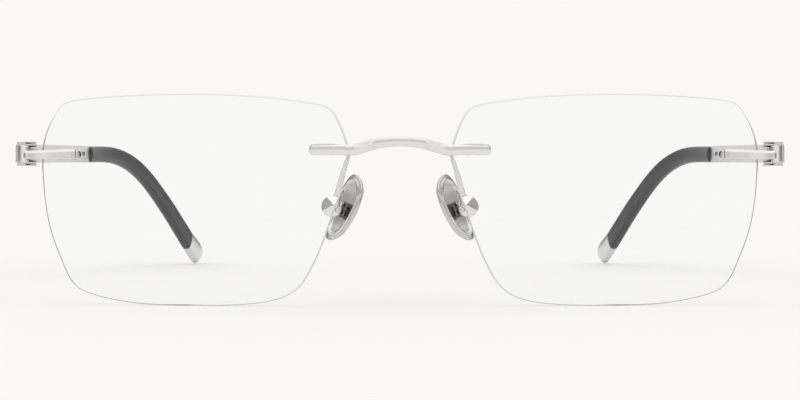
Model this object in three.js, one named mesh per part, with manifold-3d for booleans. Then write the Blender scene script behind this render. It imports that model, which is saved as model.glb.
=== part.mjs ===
// Rimless eyeglasses, assembled from separate pieces.
//
// Frame: +Z up, millimetres. The glasses look towards -Y and the temples run
// towards +Y. "left" is the wearer's left (+X). The finished group's origin is
// on the table under the middle of its bounding box. Every dimension below is
// written for the left side, with y counted from the front vertices of the
// lenses; the group is moved by MID_DEPTH at the end.
//
// Each lens is a thin meniscus that is drilled in four places. A bar in front
// of it, with two threaded posts, passes through nylon bushings to a clamp
// plate behind it, where two hex nuts hold it: the bridge is that bar on the
// nasal side and the endpiece is that bar on the temporal side. The endpiece
// folds back into a box of two thin leaves, which hold the temple's knuckle on
// a vertical screw. The pad arms start at the nasal clamp plates.
import * as THREE from "three";
import { mergeVertices } from "three/addons/utils/BufferGeometryUtils.js";
import ManifoldModule from "manifold-3d";

const manifold = await ManifoldModule();
manifold.setup();

// ---- driving dimensions -------------------------------------------------
const MID_DEPTH = 69.36; // from the lens vertices to the middle of the depth

const LENS_CENTRE = [36.5, 0, 18.71]; // at the front vertex
const FRONT_RADIUS = 130; // front surface of the lens
const LENS_THICKNESS = 2;
const LENS_BEVEL = 0.16;
const LENS_HOLE_RADIUS = 0.7;
const WRAP = THREE.MathUtils.degToRad(4); // face-form angle of each lens
const PANTO = THREE.MathUtils.degToRad(5); // pantoscopic tilt of each lens

// Clamps. Depths are counted backwards from the front surface of the lens.
const MOUNT_NASAL = [-23.35, 9.0]; // centre of each clamp on the lens face
const MOUNT_TEMPORAL = [23.4, 8.07];
const POST_PITCH = 2.5;
const POST_X = [-POST_PITCH / 2, POST_PITCH / 2];
const POST = { radius: 0.4, front: -0.6, back: 3.55 };
const BAR_GAP = 0.06; // bar to lens
const PLATE = { start: 2.26, thickness: 0.6, length: 5, height: 2, holeRadius: 0.48 };
const NUT = { start: 2.89, thickness: 0.55, acrossCorners: 1.5, boreRadius: 0.44 };
const BUSHING = { bore: 0.46, body: 0.65, flange: 0.85, start: 0.03, shoulder: 2.08, end: 2.23 };

const BRIDGE_DEPTH = 1.2;
const BRIDGE_HEIGHT = 1.9;
const ARM_DEPTH = 1.1; // front arm of the endpiece
const ARM_HEIGHT = 1.5; // by the hinge
const ARM_HEIGHT_NASAL = 1.86; // at the arm's nasal end

// Hinge
const PIN = [67.37, 12]; // hinge axis, x and y
const HINGE_Z = 27.17; // mid height of the hinge
const KNUCKLE_RADIUS = 1;
const KNUCKLE_HEIGHT = 2.52;
const WASHER = { bore: 0.5, radius: 0.96, middle: 1.38, thickness: 0.16 };
const LEAF = { low: 1.5, high: 2.2, front: 6.45, holeRadius: 0.47 }; // low, high: from HINGE_Z
const CHEEK = { inner: 68.18, outer: 68.95, front: 6.7, back: 11 }; // x, x, y, y
const HINGE_SCREW = { radius: 0.42, bottom: -2.22 }; // heights from HINGE_Z
const SCREW_HEAD = { radius: 0.68, under: 1.9, top: 2.19 }; // sunk in the upper leaf

// Temple, by y along its centre line
const BAR_STEP = 13.3; // less tall up to here, to pass between the hinge leaves
const SLEEVE_START = 77;
const SLEEVE_END = 134;
const CORE_END = 136;
const BAR_DEPTH = 0.9;
const CORE = { height: 2, depth: 0.8 };
const CORE_BORE = { height: 2.16, depth: 0.98 };

// Nose pad assembly
const BUTTON = { centre: [12.3, 17.68], radius: 1.95, front: 7.9, back: 9.9 }; // x, z; y, y
const PAD_SCREW = [11.15, 16.95]; // x and z of the pad's rocking axis
const SLOT = { front: 8.48, back: 9.32, end: 12.45 }; // y, y, x
const TONGUE = { front: 8.55, back: 9.25, end: 9.55, radius: 0.76, halfHeight: 0.72 };
const PAD = { centre: [9.9, 10.2, 17.15], halfWidth: 3.85, halfHeight: 6.45 };

// ---- solids and geometries ------------------------------------------------
const vec = (x, y, z) => new THREE.Vector3(x, y, z);
const around = (middle, reach) => [middle - reach, middle + reach];

// A closed three.js geometry, moved by a matrix, as a solid that can be cut.
function solid(geometry, matrix = new THREE.Matrix4()) {
  const source = geometry.index ? geometry.toNonIndexed() : geometry;
  const bare = new THREE.BufferGeometry();
  bare.setAttribute("position", source.getAttribute("position").clone());
  bare.applyMatrix4(matrix);
  const merged = mergeVertices(bare, 1e-4);
  const corners = merged.index.array;
  const mirrored = matrix.determinant() < 0;
  const triangles = [];
  for (let i = 0; i < corners.length; i += 3) {
    const [a, b, c] = corners.slice(i, i + 3);
    if (a === b || b === c || a === c) continue;
    if (mirrored) triangles.push(a, c, b);
    else triangles.push(a, b, c);
  }
  return new manifold.Manifold(
    new manifold.Mesh({
      numProp: 3,
      vertProperties: new Float32Array(merged.attributes.position.array),
      triVerts: new Uint32Array(triangles),
    }),
  );
}

// A solid back as a flat-shaded geometry for a mesh.
function geometryOf(body) {
  const { vertProperties, triVerts } = body.getMesh();
  const indexed = new THREE.BufferGeometry();
  indexed.setAttribute("position", new THREE.BufferAttribute(vertProperties, 3));
  indexed.setIndex(new THREE.BufferAttribute(new Uint32Array(triVerts), 1));
  const flat = indexed.toNonIndexed();
  flat.computeVertexNormals();
  return flat;
}

// Skins a row of rings, each a list of points, into one solid with closed ends.
function skin(rings, place) {
  const count = rings[0].length;
  const points = rings.flat();
  const triangles = [];
  for (let j = 0; j < rings.length - 1; j++) {
    for (let i = 0; i < count; i++) {
      const next = (i + 1) % count;
      const [a, b] = [j * count + i, j * count + next];
      const [c, d] = [b + count, a + count];
      triangles.push(a, b, c, a, c, d);
    }
  }
  for (const [start, turned] of [[0, true], [(rings.length - 1) * count, false]]) {
    const middle = vec(0, 0, 0);
    for (let i = 0; i < count; i++) middle.addScaledVector(points[start + i], 1 / count);
    const hub = points.push(middle) - 1;
    for (let i = 0; i < count; i++) {
      const [a, b] = [start + i, start + ((i + 1) % count)];
      if (turned) triangles.push(b, a, hub);
      else triangles.push(a, b, hub);
    }
  }
  // the rings may run either way round, so the faces are turned outwards here
  let volume = 0;
  for (let i = 0; i < triangles.length; i += 3) {
    const [a, b, c] = triangles.slice(i, i + 3).map((index) => points[index]);
    volume += a.dot(vec(0, 0, 0).crossVectors(b, c));
  }
  if (volume < 0) triangles.reverse();
  const geometry = new THREE.BufferGeometry().setFromPoints(points);
  geometry.setIndex(triangles);
  return solid(geometry, place);
}

// Sweeps a section along stations {at, along, height, depth, lean, up}. A
// section point is [side, up] from -1 to 1. A positive lean moves the upper
// edge back along the path.
function sweep(stations, section) {
  const rings = stations.map((station) => {
    const { at, height, depth, lean = 0, up: upright = vec(0, 0, 1) } = station;
    const along = station.along.clone().normalize();
    const up = upright.clone().addScaledVector(along, -along.dot(upright)).normalize();
    const side = vec(0, 0, 0).crossVectors(along, up).normalize();
    return section.map(([sideShare, upShare]) => {
      const rise = (upShare * height) / 2;
      return at
        .clone()
        .addScaledVector(side, (sideShare * depth) / 2)
        .addScaledVector(up, rise)
        .addScaledVector(along, -rise * lean);
    });
  });
  return skin(rings);
}

// A superellipse from -1 to 1 as a section, squarer as power grows.
function rounded(count, power) {
  const bulge = (value) => Math.sign(value) * Math.abs(value) ** (2 / power);
  return Array.from({ length: count }, (_, i) => {
    const angle = ((i + 0.5) / count) * 2 * Math.PI;
    return [bulge(Math.cos(angle)), bulge(Math.sin(angle))];
  });
}

function curveThrough(points, arcLengthDivisions = 200, closed = false) {
  const curve = new THREE.CatmullRomCurve3(points.map((p) => vec(...p)), closed, "centripetal");
  curve.arcLengthDivisions = arcLengthDivisions;
  return curve;
}

// A cylinder along the local Y axis, from y0 to y1.
function rod(radius, y0, y1, segments = 12, [x, z] = [0, 0], place) {
  const geometry = new THREE.CylinderGeometry(radius, radius, y1 - y0, segments);
  return solid(geometry.translate(x, (y0 + y1) / 2, z), place);
}

// A cylinder along Z.
function upright(radius, [z0, z1], segments, [x, y] = [0, 0]) {
  const geometry = new THREE.CylinderGeometry(radius, radius, z1 - z0, segments);
  return solid(geometry.rotateX(Math.PI / 2).translate(x, y, (z0 + z1) / 2));
}

function box([x0, x1], [y0, y1], [z0, z1], place) {
  const geometry = new THREE.BoxGeometry(x1 - x0, y1 - y0, z1 - z0);
  return solid(geometry.translate((x0 + x1) / 2, (y0 + y1) / 2, (z0 + z1) / 2), place);
}

// A plate with half-round ends, in XY and extruded along Z.
function capsule(length, height, steps, thickness) {
  const radius = height / 2;
  const straight = length / 2 - radius;
  const points = [];
  for (const end of [1, -1]) {
    for (let i = 0; i <= steps; i++) {
      const angle = -end * (Math.PI / 2) + (i / steps) * Math.PI;
      points.push(
        new THREE.Vector2(end * straight + radius * Math.cos(angle), radius * Math.sin(angle)),
      );
    }
  }
  const options = { depth: thickness, bevelEnabled: false };
  return new THREE.ExtrudeGeometry(new THREE.Shape(points), options);
}

// A tube turned about Y from a closed profile of [radius, y].
function lathe(profile, segments) {
  const points = profile.map(([radius, y]) => new THREE.Vector2(radius, y));
  return new THREE.LatheGeometry(points, segments);
}

// ---- materials ----------------------------------------------------------
const standard = (settings) => new THREE.MeshStandardMaterial(settings);
const metal = () => standard({ color: 0xc9c8c6, roughness: 0.22, metalness: 1 });
const polished = () => standard({ color: 0xd6d5d3, roughness: 0.08, metalness: 1 });
const clearLens = () =>
  standard({ color: 0xf4f6f6, roughness: 0.02, metalness: 0, transparent: true, opacity: 0.18 });
const nylon = () =>
  standard({ color: 0xf0f0ee, roughness: 0.35, metalness: 0, transparent: true, opacity: 0.6 });
const blackNylon = () => standard({ color: 0x2b2b2b, roughness: 0.45, metalness: 0 });
const sleevePlastic = () => standard({ color: 0x5b595b, roughness: 0.5, metalness: 0 });

// ---- lens ---------------------------------------------------------------
// The outline, from the top round by the temporal side, as [outwards, up] from
// the lens centre.
const OUTLINE = [
  [-1.16, 18.94], [4.31, 18.93], [9.84, 18.77], [15.48, 18.44], [20.61, 17.97], [22.71, 17.56],
  [23.83, 17.06], [24.59, 16.34], [25.66, 14.77], [26.63, 12.97], [27.38, 11.04], [27.76, 9.32],
  [27.86, 6.58], [27.75, 3.81], [27.52, 0.5], [27.01, -3.4], [26.38, -6.15], [25.69, -8.32],
  [24.82, -10.66], [24.05, -12.63], [23.11, -14.51], [22.01, -15.81], [20.51, -16.68],
  [17.91, -17.45], [14.79, -18.08], [10.55, -18.63], [4.96, -18.89], [-0.75, -18.9],
  [-5.24, -18.85], [-9.71, -18.6], [-13.12, -18.15], [-16.05, -17.18], [-18.08, -15.85],
  [-19.64, -13.86], [-20.71, -11.95], [-22.04, -9.13], [-22.96, -6.74], [-24.29, -2.97],
  [-25.82, 1.33], [-26.82, 5.25], [-27.42, 7.6], [-27.29, 8.91], [-26.87, 10.32],
  [-26.42, 11.78], [-25.79, 13.31], [-24.97, 14.98], [-24.05, 16.15], [-22.81, 16.77],
  [-20.24, 17.3], [-15.22, 18.07], [-10.18, 18.55], [-5.78, 18.81],
];
const OUTLINE_POINTS = 56;

// Depth of a spherical surface behind its vertex.
const sag = (x, z, radius) => radius - Math.sqrt(radius * radius - x * x - z * z);
const frontDepth = (x, z) => sag(x, z, FRONT_RADIUS);
const backDepth = (x, z) => LENS_THICKNESS + sag(x, z, FRONT_RADIUS - LENS_THICKNESS);

function lensBlank() {
  const curve = curveThrough(OUTLINE.map(([x, z]) => [x, 0, z]), 1200, true);
  const outline = curve.getSpacedPoints(OUTLINE_POINTS).slice(0, OUTLINE_POINTS);
  // the outline drawn in by `inset`, scaled by `share` and laid on a surface
  const ring = (inset, share, depthAt, shift = 0) =>
    outline.map((point) => {
      const length = Math.hypot(point.x, point.z);
      const scale = ((length - inset) / length) * share;
      const [x, z] = [point.x * scale, point.z * scale];
      return vec(x, depthAt(x, z) + shift, z);
    });
  return skin([
    ring(0, 0.42, frontDepth),
    ring(0, 0.8, frontDepth),
    ring(LENS_BEVEL, 1, frontDepth),
    ring(0, 1, frontDepth, LENS_BEVEL),
    ring(0, 1, backDepth, -LENS_BEVEL),
    ring(LENS_BEVEL, 1, backDepth),
    ring(0, 0.8, backDepth),
    ring(0, 0.42, backDepth),
  ]);
}

const LENS_TURN = new THREE.Euler(PANTO, 0, WRAP, "ZYX");
const lensPlace = new THREE.Matrix4().compose(
  vec(...LENS_CENTRE),
  new THREE.Quaternion().setFromEuler(LENS_TURN),
  vec(1, 1, 1),
);

// The place of a clamp: local Y runs into the lens along its normal, X is level.
function mountPlace([x, z]) {
  const point = vec(x, frontDepth(x, z), z);
  const inwards = vec(0, FRONT_RADIUS, 0).sub(point).normalize().transformDirection(lensPlace);
  const level = vec(0, 0, 0).crossVectors(inwards, vec(0, 0, 1)).normalize();
  const up = vec(0, 0, 0).crossVectors(level, inwards).normalize();
  const place = new THREE.Matrix4().makeBasis(level, inwards, up);
  return place.setPosition(point.applyMatrix4(lensPlace));
}
const nasal = mountPlace(MOUNT_NASAL);
const temporal = mountPlace(MOUNT_TEMPORAL);

function lensGeometry() {
  let lens = lensBlank();
  const toLens = lensPlace.clone().invert();
  for (const mount of [nasal, temporal]) {
    const place = toLens.clone().multiply(mount);
    for (const x of POST_X) {
      lens = lens.subtract(rod(LENS_HOLE_RADIUS, -1, 3.4, 12, [x, 0], place));
    }
  }
  return geometryOf(lens);
}

// ---- clamp hardware, in a clamp's own frame -------------------------------
function bushingGeometry() {
  const { bore, body, flange, start, shoulder, end } = BUSHING;
  const profile = [
    [bore, start], [body, start], [body, shoulder], [flange, shoulder],
    [flange, end], [bore, end], [bore, start],
  ];
  return lathe(profile, 8);
}

function plateGeometry() {
  const blank = capsule(PLATE.length, PLATE.height, 6, PLATE.thickness)
    .rotateX(-Math.PI / 2)
    .translate(0, PLATE.start, 0);
  let plate = solid(blank);
  for (const x of POST_X) {
    plate = plate.subtract(rod(PLATE.holeRadius, PLATE.start - 1, PLATE.start + 2, 12, [x, 0]));
  }
  return geometryOf(plate);
}

function nutGeometry() {
  const end = NUT.start + NUT.thickness;
  const hex = rod(NUT.acrossCorners / 2, NUT.start, end, 6);
  return geometryOf(hex.subtract(rod(NUT.boreRadius, NUT.start - 1, end + 1)));
}

// Adds a clamp's two threaded posts to a bar.
const addPosts = (bar, place) =>
  POST_X.reduce(
    (sum, x) => sum.add(rod(POST.radius, POST.front, POST.back, 8, [x, 0], place)),
    bar,
  );

// A point on a bar's centre line, `along` mm outwards from the clamp's middle.
const barCentre = (place, along, depth) =>
  vec(along, -(BAR_GAP + depth / 2), 0).applyMatrix4(place);

// ---- bridge ---------------------------------------------------------------
// Faceted front: a top bevel, a broad upper band that leans a little and a
// lower band that leans back more. The bridge's line runs towards -X, so side
// -1 is its front.
const BRIDGE_SECTION = [
  [1, -0.86], [0.8, -1], [-0.2, -1], [-0.5, -0.96], [-1, -0.12],
  [-0.76, 0.62], [-0.1, 1], [0.8, 1], [1, 0.86],
];
// Centre line from the left lens to the middle, as [x, y, z].
const BRIDGE_LINE = [
  [8.6, -0.36, 27.79], [7.4, -0.66, 28.01], [6.2, -1.02, 28.38],
  [4.2, -1.62, 28.94], [2.1, -2.02, 29.23], [0, -2.15, 29.32],
];
const BRIDGE_ON_LENS = [2.98, 0, -3]; // centre line points from the clamp's middle
const BRIDGE_STEPS = 22;
const BRIDGE_END = { height: 0.62, depth: 0.7, length: 0.32 }; // shares, and rounding in mm
const BRIDGE_WAIST = { reach: 8, loss: 0.07 }; // less tall within this x, by this share

function bridgeGeometry() {
  const half = [
    ...BRIDGE_ON_LENS.map((along) => barCentre(nasal, along, BRIDGE_DEPTH).toArray()),
    ...BRIDGE_LINE,
  ];
  const otherHalf = half.slice(0, -1).reverse().map(([x, y, z]) => [-x, y, z]);
  const line = curveThrough([...half, ...otherHalf], 800);
  const stations = [];
  for (let i = 0; i <= BRIDGE_STEPS; i++) {
    const at = line.getPointAt(i / BRIDGE_STEPS);
    const isEnd = i === 0 || i === BRIDGE_STEPS;
    const waist = 1 - BRIDGE_WAIST.loss * Math.max(0, 1 - Math.abs(at.x) / BRIDGE_WAIST.reach);
    stations.push({
      at,
      along: line.getTangentAt(i / BRIDGE_STEPS),
      height: BRIDGE_HEIGHT * (isEnd ? BRIDGE_END.height : 1) * waist,
      depth: BRIDGE_DEPTH * (isEnd ? BRIDGE_END.depth : 1),
    });
  }
  // full size again just inside each rounded end
  const justInside = (end, next) => ({
    ...next,
    at: end.at.clone().lerp(next.at, BRIDGE_END.length / end.at.distanceTo(next.at)),
    along: end.along,
  });
  stations.splice(1, 0, justInside(stations[0], stations[1]));
  stations.splice(-1, 0, justInside(stations.at(-1), stations.at(-2)));

  const mirroredNasal = new THREE.Matrix4().makeScale(-1, 1, 1).multiply(nasal);
  const bar = sweep(stations, BRIDGE_SECTION);
  return geometryOf(addPosts(addPosts(bar, nasal), mirroredNasal));
}

// ---- endpiece ---------------------------------------------------------------
// Flat front with a bevel along its top edge; side 1 is the front, and the
// outside once the arm has folded back.
const ARM_SECTION = [
  [-1, -0.8], [-0.8, -1], [0.84, -1], [1, -0.86], [1, 0.46], [0.5, 1], [-0.8, 1], [-1, 0.8],
];
const ARM_SPAN = [-2.5, 6.2]; // straight part, from the clamp's middle
// Nasal part: [distance from the end, share of the height, depth].
const ARM_NASAL_STATIONS = [
  [0, 0.5, 0.34], [0.14, 0.8, 0.68], [0.38, 0.95, 0.94], [0.75, 1, ARM_DEPTH], [4.2, 1, ARM_DEPTH],
];
// Fold to the hinge: [x, y, z, height, depth, direction x, direction y].
const FOLD_STATIONS = [
  [66.75, 4.42, 26.97, ARM_HEIGHT * 1.05, 1.08, 1, 0.34],
  [67.35, 4.72, 27.02, 1.75, 1.04, 1, 0.62],
  [67.95, 5.12, 27.1, 2.45, 0.98, 0.8, 0.85],
  [68.38, 5.68, 27.15, 3, 0.95, 0.42, 1],
  [68.6, 6.5, HINGE_Z, 3.2, 0.95, 0.1, 1],
  [68.63, 8.2, HINGE_Z, 3.2, 0.95, 0, 1],
  [68.63, CHEEK.back, HINGE_Z, 3.2, 0.95, 0, 1],
];

function endpieceArm() {
  const [start, flat] = ARM_SPAN.map((along) => barCentre(temporal, along, ARM_DEPTH));
  const along = flat.clone().sub(start).normalize();
  const length = start.distanceTo(flat);
  const backwards = vec(-along.y, along.x, 0);
  const nasalStations = ARM_NASAL_STATIONS.map(([distance, heightShare, depth]) => {
    const height = ARM_HEIGHT_NASAL + ((ARM_HEIGHT - ARM_HEIGHT_NASAL) * distance) / length;
    const at = start.clone().addScaledVector(along, distance);
    // the lower edge stays level with the other end's
    at.z += (height - ARM_HEIGHT) / 2;
    // the front curves back towards the lens at the end
    at.addScaledVector(backwards, (ARM_DEPTH - depth) / 2);
    return { at, along, height: height * heightShare, depth };
  });
  const foldStations = FOLD_STATIONS.map(([x, y, z, height, depth, alongX, alongY]) => ({
    at: vec(x, y, z),
    along: vec(alongX, alongY, 0),
    height,
    depth,
  }));
  const flatStation = { at: flat, along, height: ARM_HEIGHT, depth: ARM_DEPTH };
  return sweep([...nasalStations, flatStation, ...foldStations], ARM_SECTION);
}

const hingeBore = () => upright(LEAF.holeRadius, around(HINGE_Z, 4), 14, PIN);

function endpieceGeometry() {
  const cheekX = [CHEEK.inner, CHEEK.outer];
  const cheekY = [CHEEK.front, CHEEK.back];
  let body = addPosts(endpieceArm(), temporal);
  body = body.add(box(cheekX, cheekY, around(HINGE_Z, LEAF.high - 0.05)));
  const lowerLeaf = [HINGE_Z - LEAF.high, HINGE_Z - LEAF.low];
  const upperLeaf = [HINGE_Z + LEAF.low, HINGE_Z + LEAF.high];
  for (const span of [lowerLeaf, upperLeaf]) {
    const eyeX = [PIN[0], PIN[0] + KNUCKLE_RADIUS - 0.01];
    body = body.add(box([PIN[0], CHEEK.outer], [LEAF.front, CHEEK.back], span));
    body = body.add(box(eyeX, [LEAF.front, PIN[1]], span));
    body = body.add(upright(KNUCKLE_RADIUS, span, 16, PIN));
  }
  const sink = [HINGE_Z + SCREW_HEAD.under - 0.03, HINGE_Z + 4];
  body = body.subtract(hingeBore());
  body = body.subtract(upright(SCREW_HEAD.radius + 0.03, sink, 14, PIN));
  return geometryOf(body);
}

// ---- hinge hardware, about the middle of the hinge ------------------------
function washerGeometry() {
  const { bore, radius, thickness } = WASHER;
  const half = thickness / 2;
  const profile = [[bore, -half], [radius, -half], [radius, half], [bore, half], [bore, -half]];
  return lathe(profile, 16).rotateX(Math.PI / 2);
}

function hingeScrewGeometry() {
  const { radius, under, top } = SCREW_HEAD;
  const shank = upright(HINGE_SCREW.radius, [HINGE_SCREW.bottom, under + 0.1], 12);
  const screw = shank.add(upright(radius, [under, top], 14));
  return geometryOf(screw.subtract(box([-1, 1], [-0.1, 0.1], [top - 0.11, 2.6])));
}

// ---- temple ---------------------------------------------------------------
// Centre line of the temple, as [x, y, z], from the hinge past the end of its
// core.
const TEMPLE_LINE = [
  [68.4, 11.1, 27.17], [68.38, 16, 27.17], [68.25, 30, 27.18], [67.95, 50, 27.18],
  [67.6, 66, 27.14], [67.4, 76, 27.1], [67.12, 84, 27.08], [66.2, 92, 27.08],
  [65.1, 97.6, 26.83], [63.9, 102, 26.22], [62.5, 106, 25.15], [61, 110, 23.5],
  [59.3, 114.6, 20.9], [57.4, 119.9, 17.3], [55.5, 125, 13.4], [53.7, 130, 9.35],
  [52.12, 134.3, 5.78], [50.75, 138, 2.56], [49.97, 140.5, 0.26],
];
const TEMPLE_START = TEMPLE_LINE[0][1];
const templeLine = curveThrough(TEMPLE_LINE, 2000);
const BAR_SECTION = rounded(8, 5);
const SLEEVE_SECTION = rounded(12, 2.9);
// Oval recess in the inner face, ahead of the sleeve; y and rise place it.
const RECESS = { y: 69.6, rise: 0.08, length: 3.6, height: 0.8, depth: 0.12 };

// The share of the line's length at which it reaches a given y, by bisection.
function shareAt(y) {
  let [low, high] = [0, 1];
  for (let i = 0; i < 50; i++) {
    const middle = (low + high) / 2;
    if (templeLine.getPointAt(middle).y < y) low = middle;
    else high = middle;
  }
  return low;
}

// Even stations between two y values; size(k) gives each its height and depth.
function lineStations(from, to, steps, size) {
  const [start, end] = [shareAt(from), shareAt(to)];
  return Array.from({ length: steps + 1 }, (_, i) => {
    const share = start + (end - start) * (i / steps);
    return {
      at: templeLine.getPointAt(share),
      along: templeLine.getTangentAt(share),
      ...size(i / steps),
    };
  });
}

function recessCutter() {
  const thickness = 0.6;
  const { x, y, z } = templeLine.getPointAt(shareAt(RECESS.y));
  const oval = capsule(RECESS.length, RECESS.height, 5, thickness)
    .rotateZ(Math.PI / 2)
    .rotateY(Math.PI / 2)
    .translate(x - BAR_DEPTH / 2 + RECESS.depth - thickness, y, z + RECESS.rise);
  return solid(oval);
}

function templeGeometry() {
  const low = () => ({ height: 2.84, depth: BAR_DEPTH });
  const full = (k) => ({ height: 3.4 + 0.18 * k, depth: BAR_DEPTH });
  const near = lineStations(TEMPLE_START, BAR_STEP, 1, low);
  near[0].along = vec(0, 1, 0);
  const far = lineStations(BAR_STEP + 0.15, SLEEVE_START - 0.1, 8, full);
  const core = lineStations(SLEEVE_START - 0.04, CORE_END, 15, () => CORE);
  let body = sweep([...near, ...far, ...core], BAR_SECTION);
  // knuckle, and the web that joins it to the bar
  body = body.add(upright(KNUCKLE_RADIUS, around(HINGE_Z, KNUCKLE_HEIGHT / 2), 20, PIN));
  body = body.add(box([PIN[0], 68.3], [12.2, 12.95], around(HINGE_Z, 1.24)));
  body = body.subtract(hingeBore());
  // room for the washers
  for (const middle of [HINGE_Z - WASHER.middle, HINGE_Z + WASHER.middle]) {
    body = body.subtract(upright(KNUCKLE_RADIUS + 0.02, around(middle, 0.11), 20, PIN));
  }
  return geometryOf(body.subtract(recessCutter()));
}

// The bore that the core runs in.
const coreBore = () =>
  sweep(lineStations(SLEEVE_START - 0.6, CORE_END + 0.15, 15, () => CORE_BORE), BAR_SECTION);

function sleeveGeometry() {
  const [start, ...rest] = lineStations(SLEEVE_START, SLEEVE_END, 15, (k) => ({
    height: 3.44 + 0.95 * k ** 1.6,
    depth: 2.25 + 0.35 * k,
    lean: k === 1 ? 0.28 : 0,
  }));
  // the front end is bevelled
  const face = { ...start, height: 3.1, depth: 1.9 };
  const shoulder = { ...start, at: start.at.clone().addScaledVector(start.along, 0.35) };
  return geometryOf(sweep([face, shoulder, ...rest], SLEEVE_SECTION).subtract(coreBore()));
}

// [distance past the sleeve, height, depth, lean, rise]. The rise keeps the
// lower edge nearly straight, and the lean carries the upper edge towards the tip.
const CAP_STATIONS = [
  [0.06, 4.4, 2.6, 0.28, 0], [1.6, 4.75, 2.55, 0.15, 0.16], [3.3, 5.05, 2.45, 0, 0.31],
  [4.9, 5.25, 2.35, -0.15, 0.4], [6.1, 5.2, 2.15, -0.28, 0.38], [7, 4.8, 1.85, -0.36, 0.25],
  [7.6, 4, 1.45, -0.42, 0.08], [7.9, 3, 1, -0.45, -0.02], [8, 1.9, 0.6, -0.45, -0.06],
];

function tipCapGeometry() {
  const start = shareAt(SLEEVE_END);
  const length = templeLine.getLength();
  const stations = CAP_STATIONS.map(([distance, height, depth, lean, rise]) => {
    const share = start + distance / length;
    const along = templeLine.getTangentAt(share);
    const up = vec(0, 0, 1).addScaledVector(along, -along.z).normalize();
    const at = templeLine.getPointAt(share).addScaledVector(up, rise);
    return { at, along, height, depth, lean };
  });
  return geometryOf(sweep(stations, SLEEVE_SECTION).subtract(coreBore()));
}

// ---- nose pad assembly ----------------------------------------------------
// Centre line of the pad arm, as [x, y, z], from the clamp plate to the button.
const PAD_ARM_LINE = [
  [11.4, 3.25, 27.55], [10.5, 3.4, 27.62], [9.6, 3.7, 27.4], [9.27, 4.45, 26.6],
  [9.75, 5.6, 25.5], [10.3, 6.8, 24], [10.92, 8.15, 22.1], [11.38, 8.75, 20.5],
  [11.75, 8.9, 19.2],
];
const PAD_ARM_STEPS = 18;
const PAD_ARM_THICKNESS = 0.74;

function padArmGeometry() {
  const line = curveThrough(PAD_ARM_LINE);
  const stations = line.getSpacedPoints(PAD_ARM_STEPS).map((at, i) => ({
    at,
    along: line.getTangentAt(i / PAD_ARM_STEPS),
    height: PAD_ARM_THICKNESS,
    depth: PAD_ARM_THICKNESS,
    up: vec(1, 0, 0.2),
  }));
  const gap = 0.03;
  const plateRoom = box(
    around(0, PLATE.length / 2 + gap),
    around(PLATE.start + PLATE.thickness / 2, PLATE.thickness / 2 + gap),
    around(0, PLATE.height / 2 + gap),
    nasal,
  );
  const arm = sweep(stations, rounded(8, 2))
    .subtract(rod(BUTTON.radius + gap, 0, 20, 24, BUTTON.centre))
    .subtract(plateRoom);
  // only the largest body is kept of what the cuts leave
  const [largest] = arm.decompose().sort((a, b) => b.volume() - a.volume());
  return geometryOf(largest);
}

// The round pad box, with a skewed cone in front and a slot open to the nose.
function buttonGeometry() {
  const [x, z] = BUTTON.centre;
  const { radius, front, back } = BUTTON;
  const segments = 20;
  const circle = (ringRadius, y, shiftX = 0, shiftZ = 0) =>
    Array.from({ length: segments }, (_, i) => {
      const angle = (i / segments) * 2 * Math.PI;
      return vec(
        x + shiftX + ringRadius * Math.cos(angle),
        y,
        z + shiftZ + ringRadius * Math.sin(angle),
      );
    });
  const cone = skin([
    circle(radius, front + 0.01),
    circle(radius - 0.03, front - 0.05),
    circle(0.2, front - 0.85, -0.25, 0.35),
  ]);
  const button = rod(radius, front, back, segments, BUTTON.centre)
    .add(cone)
    .subtract(box([x - 5, SLOT.end], [SLOT.front, SLOT.back], around(z, 5)))
    .subtract(rod(0.4, 6, 9.75, 14, PAD_SCREW)) // screw shank
    .subtract(rod(0.58, 6, 7.84, 14, PAD_SCREW)); // screw head
  return geometryOf(button);
}

function padScrewGeometry() {
  const [x, z] = PAD_SCREW;
  const headFront = 7.56;
  const shank = rod(0.36, 7.7, 9.7, 12, PAD_SCREW);
  const head = rod(0.54, headFront, 7.82, 14, PAD_SCREW);
  const slot = new THREE.BoxGeometry(1.4, 0.2, 0.18).rotateY(0.6).translate(x, headFront, z);
  return geometryOf(shank.add(head).subtract(solid(slot)));
}

// Local X is the pad's width, Y points away from the nose, Z is its length.
function padPlace() {
  const up = vec(-0.39, 0.08, 0.92).normalize();
  const normal = vec(-0.829, 0.559, 0);
  normal.z = -(up.x * normal.x + up.y * normal.y) / up.z; // square to up
  normal.normalize();
  const width = vec(0, 0, 0).crossVectors(up, normal);
  return new THREE.Matrix4().makeBasis(width, normal.negate(), up).setPosition(...PAD.centre);
}

// Rings of the pad, as [share of its outline, local y].
const PAD_RINGS = [
  [0.4, 0.15], [0.74, 0.15], [0.8, 0.7], [0.92, 0.7],
  [1, 0.35], [1, -0.1], [0.87, -0.6], [0.5, -0.75],
];
const PAD_SEGMENTS = 22;

// An egg-shaped ring, wider at the top, whose upper and lower ends bend away
// from the nose.
function padRing([share, y]) {
  return Array.from({ length: PAD_SEGMENTS }, (_, i) => {
    const angle = (i / PAD_SEGMENTS) * 2 * Math.PI;
    const x = PAD.halfWidth * Math.cos(angle) * (1 + 0.13 * Math.sin(angle)) * share;
    const z = PAD.halfHeight * Math.sin(angle) * share;
    const bend = Math.max(0, Math.abs(z) - 3.4) ** 2 / 14;
    return vec(x, y + bend, z);
  });
}

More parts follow.
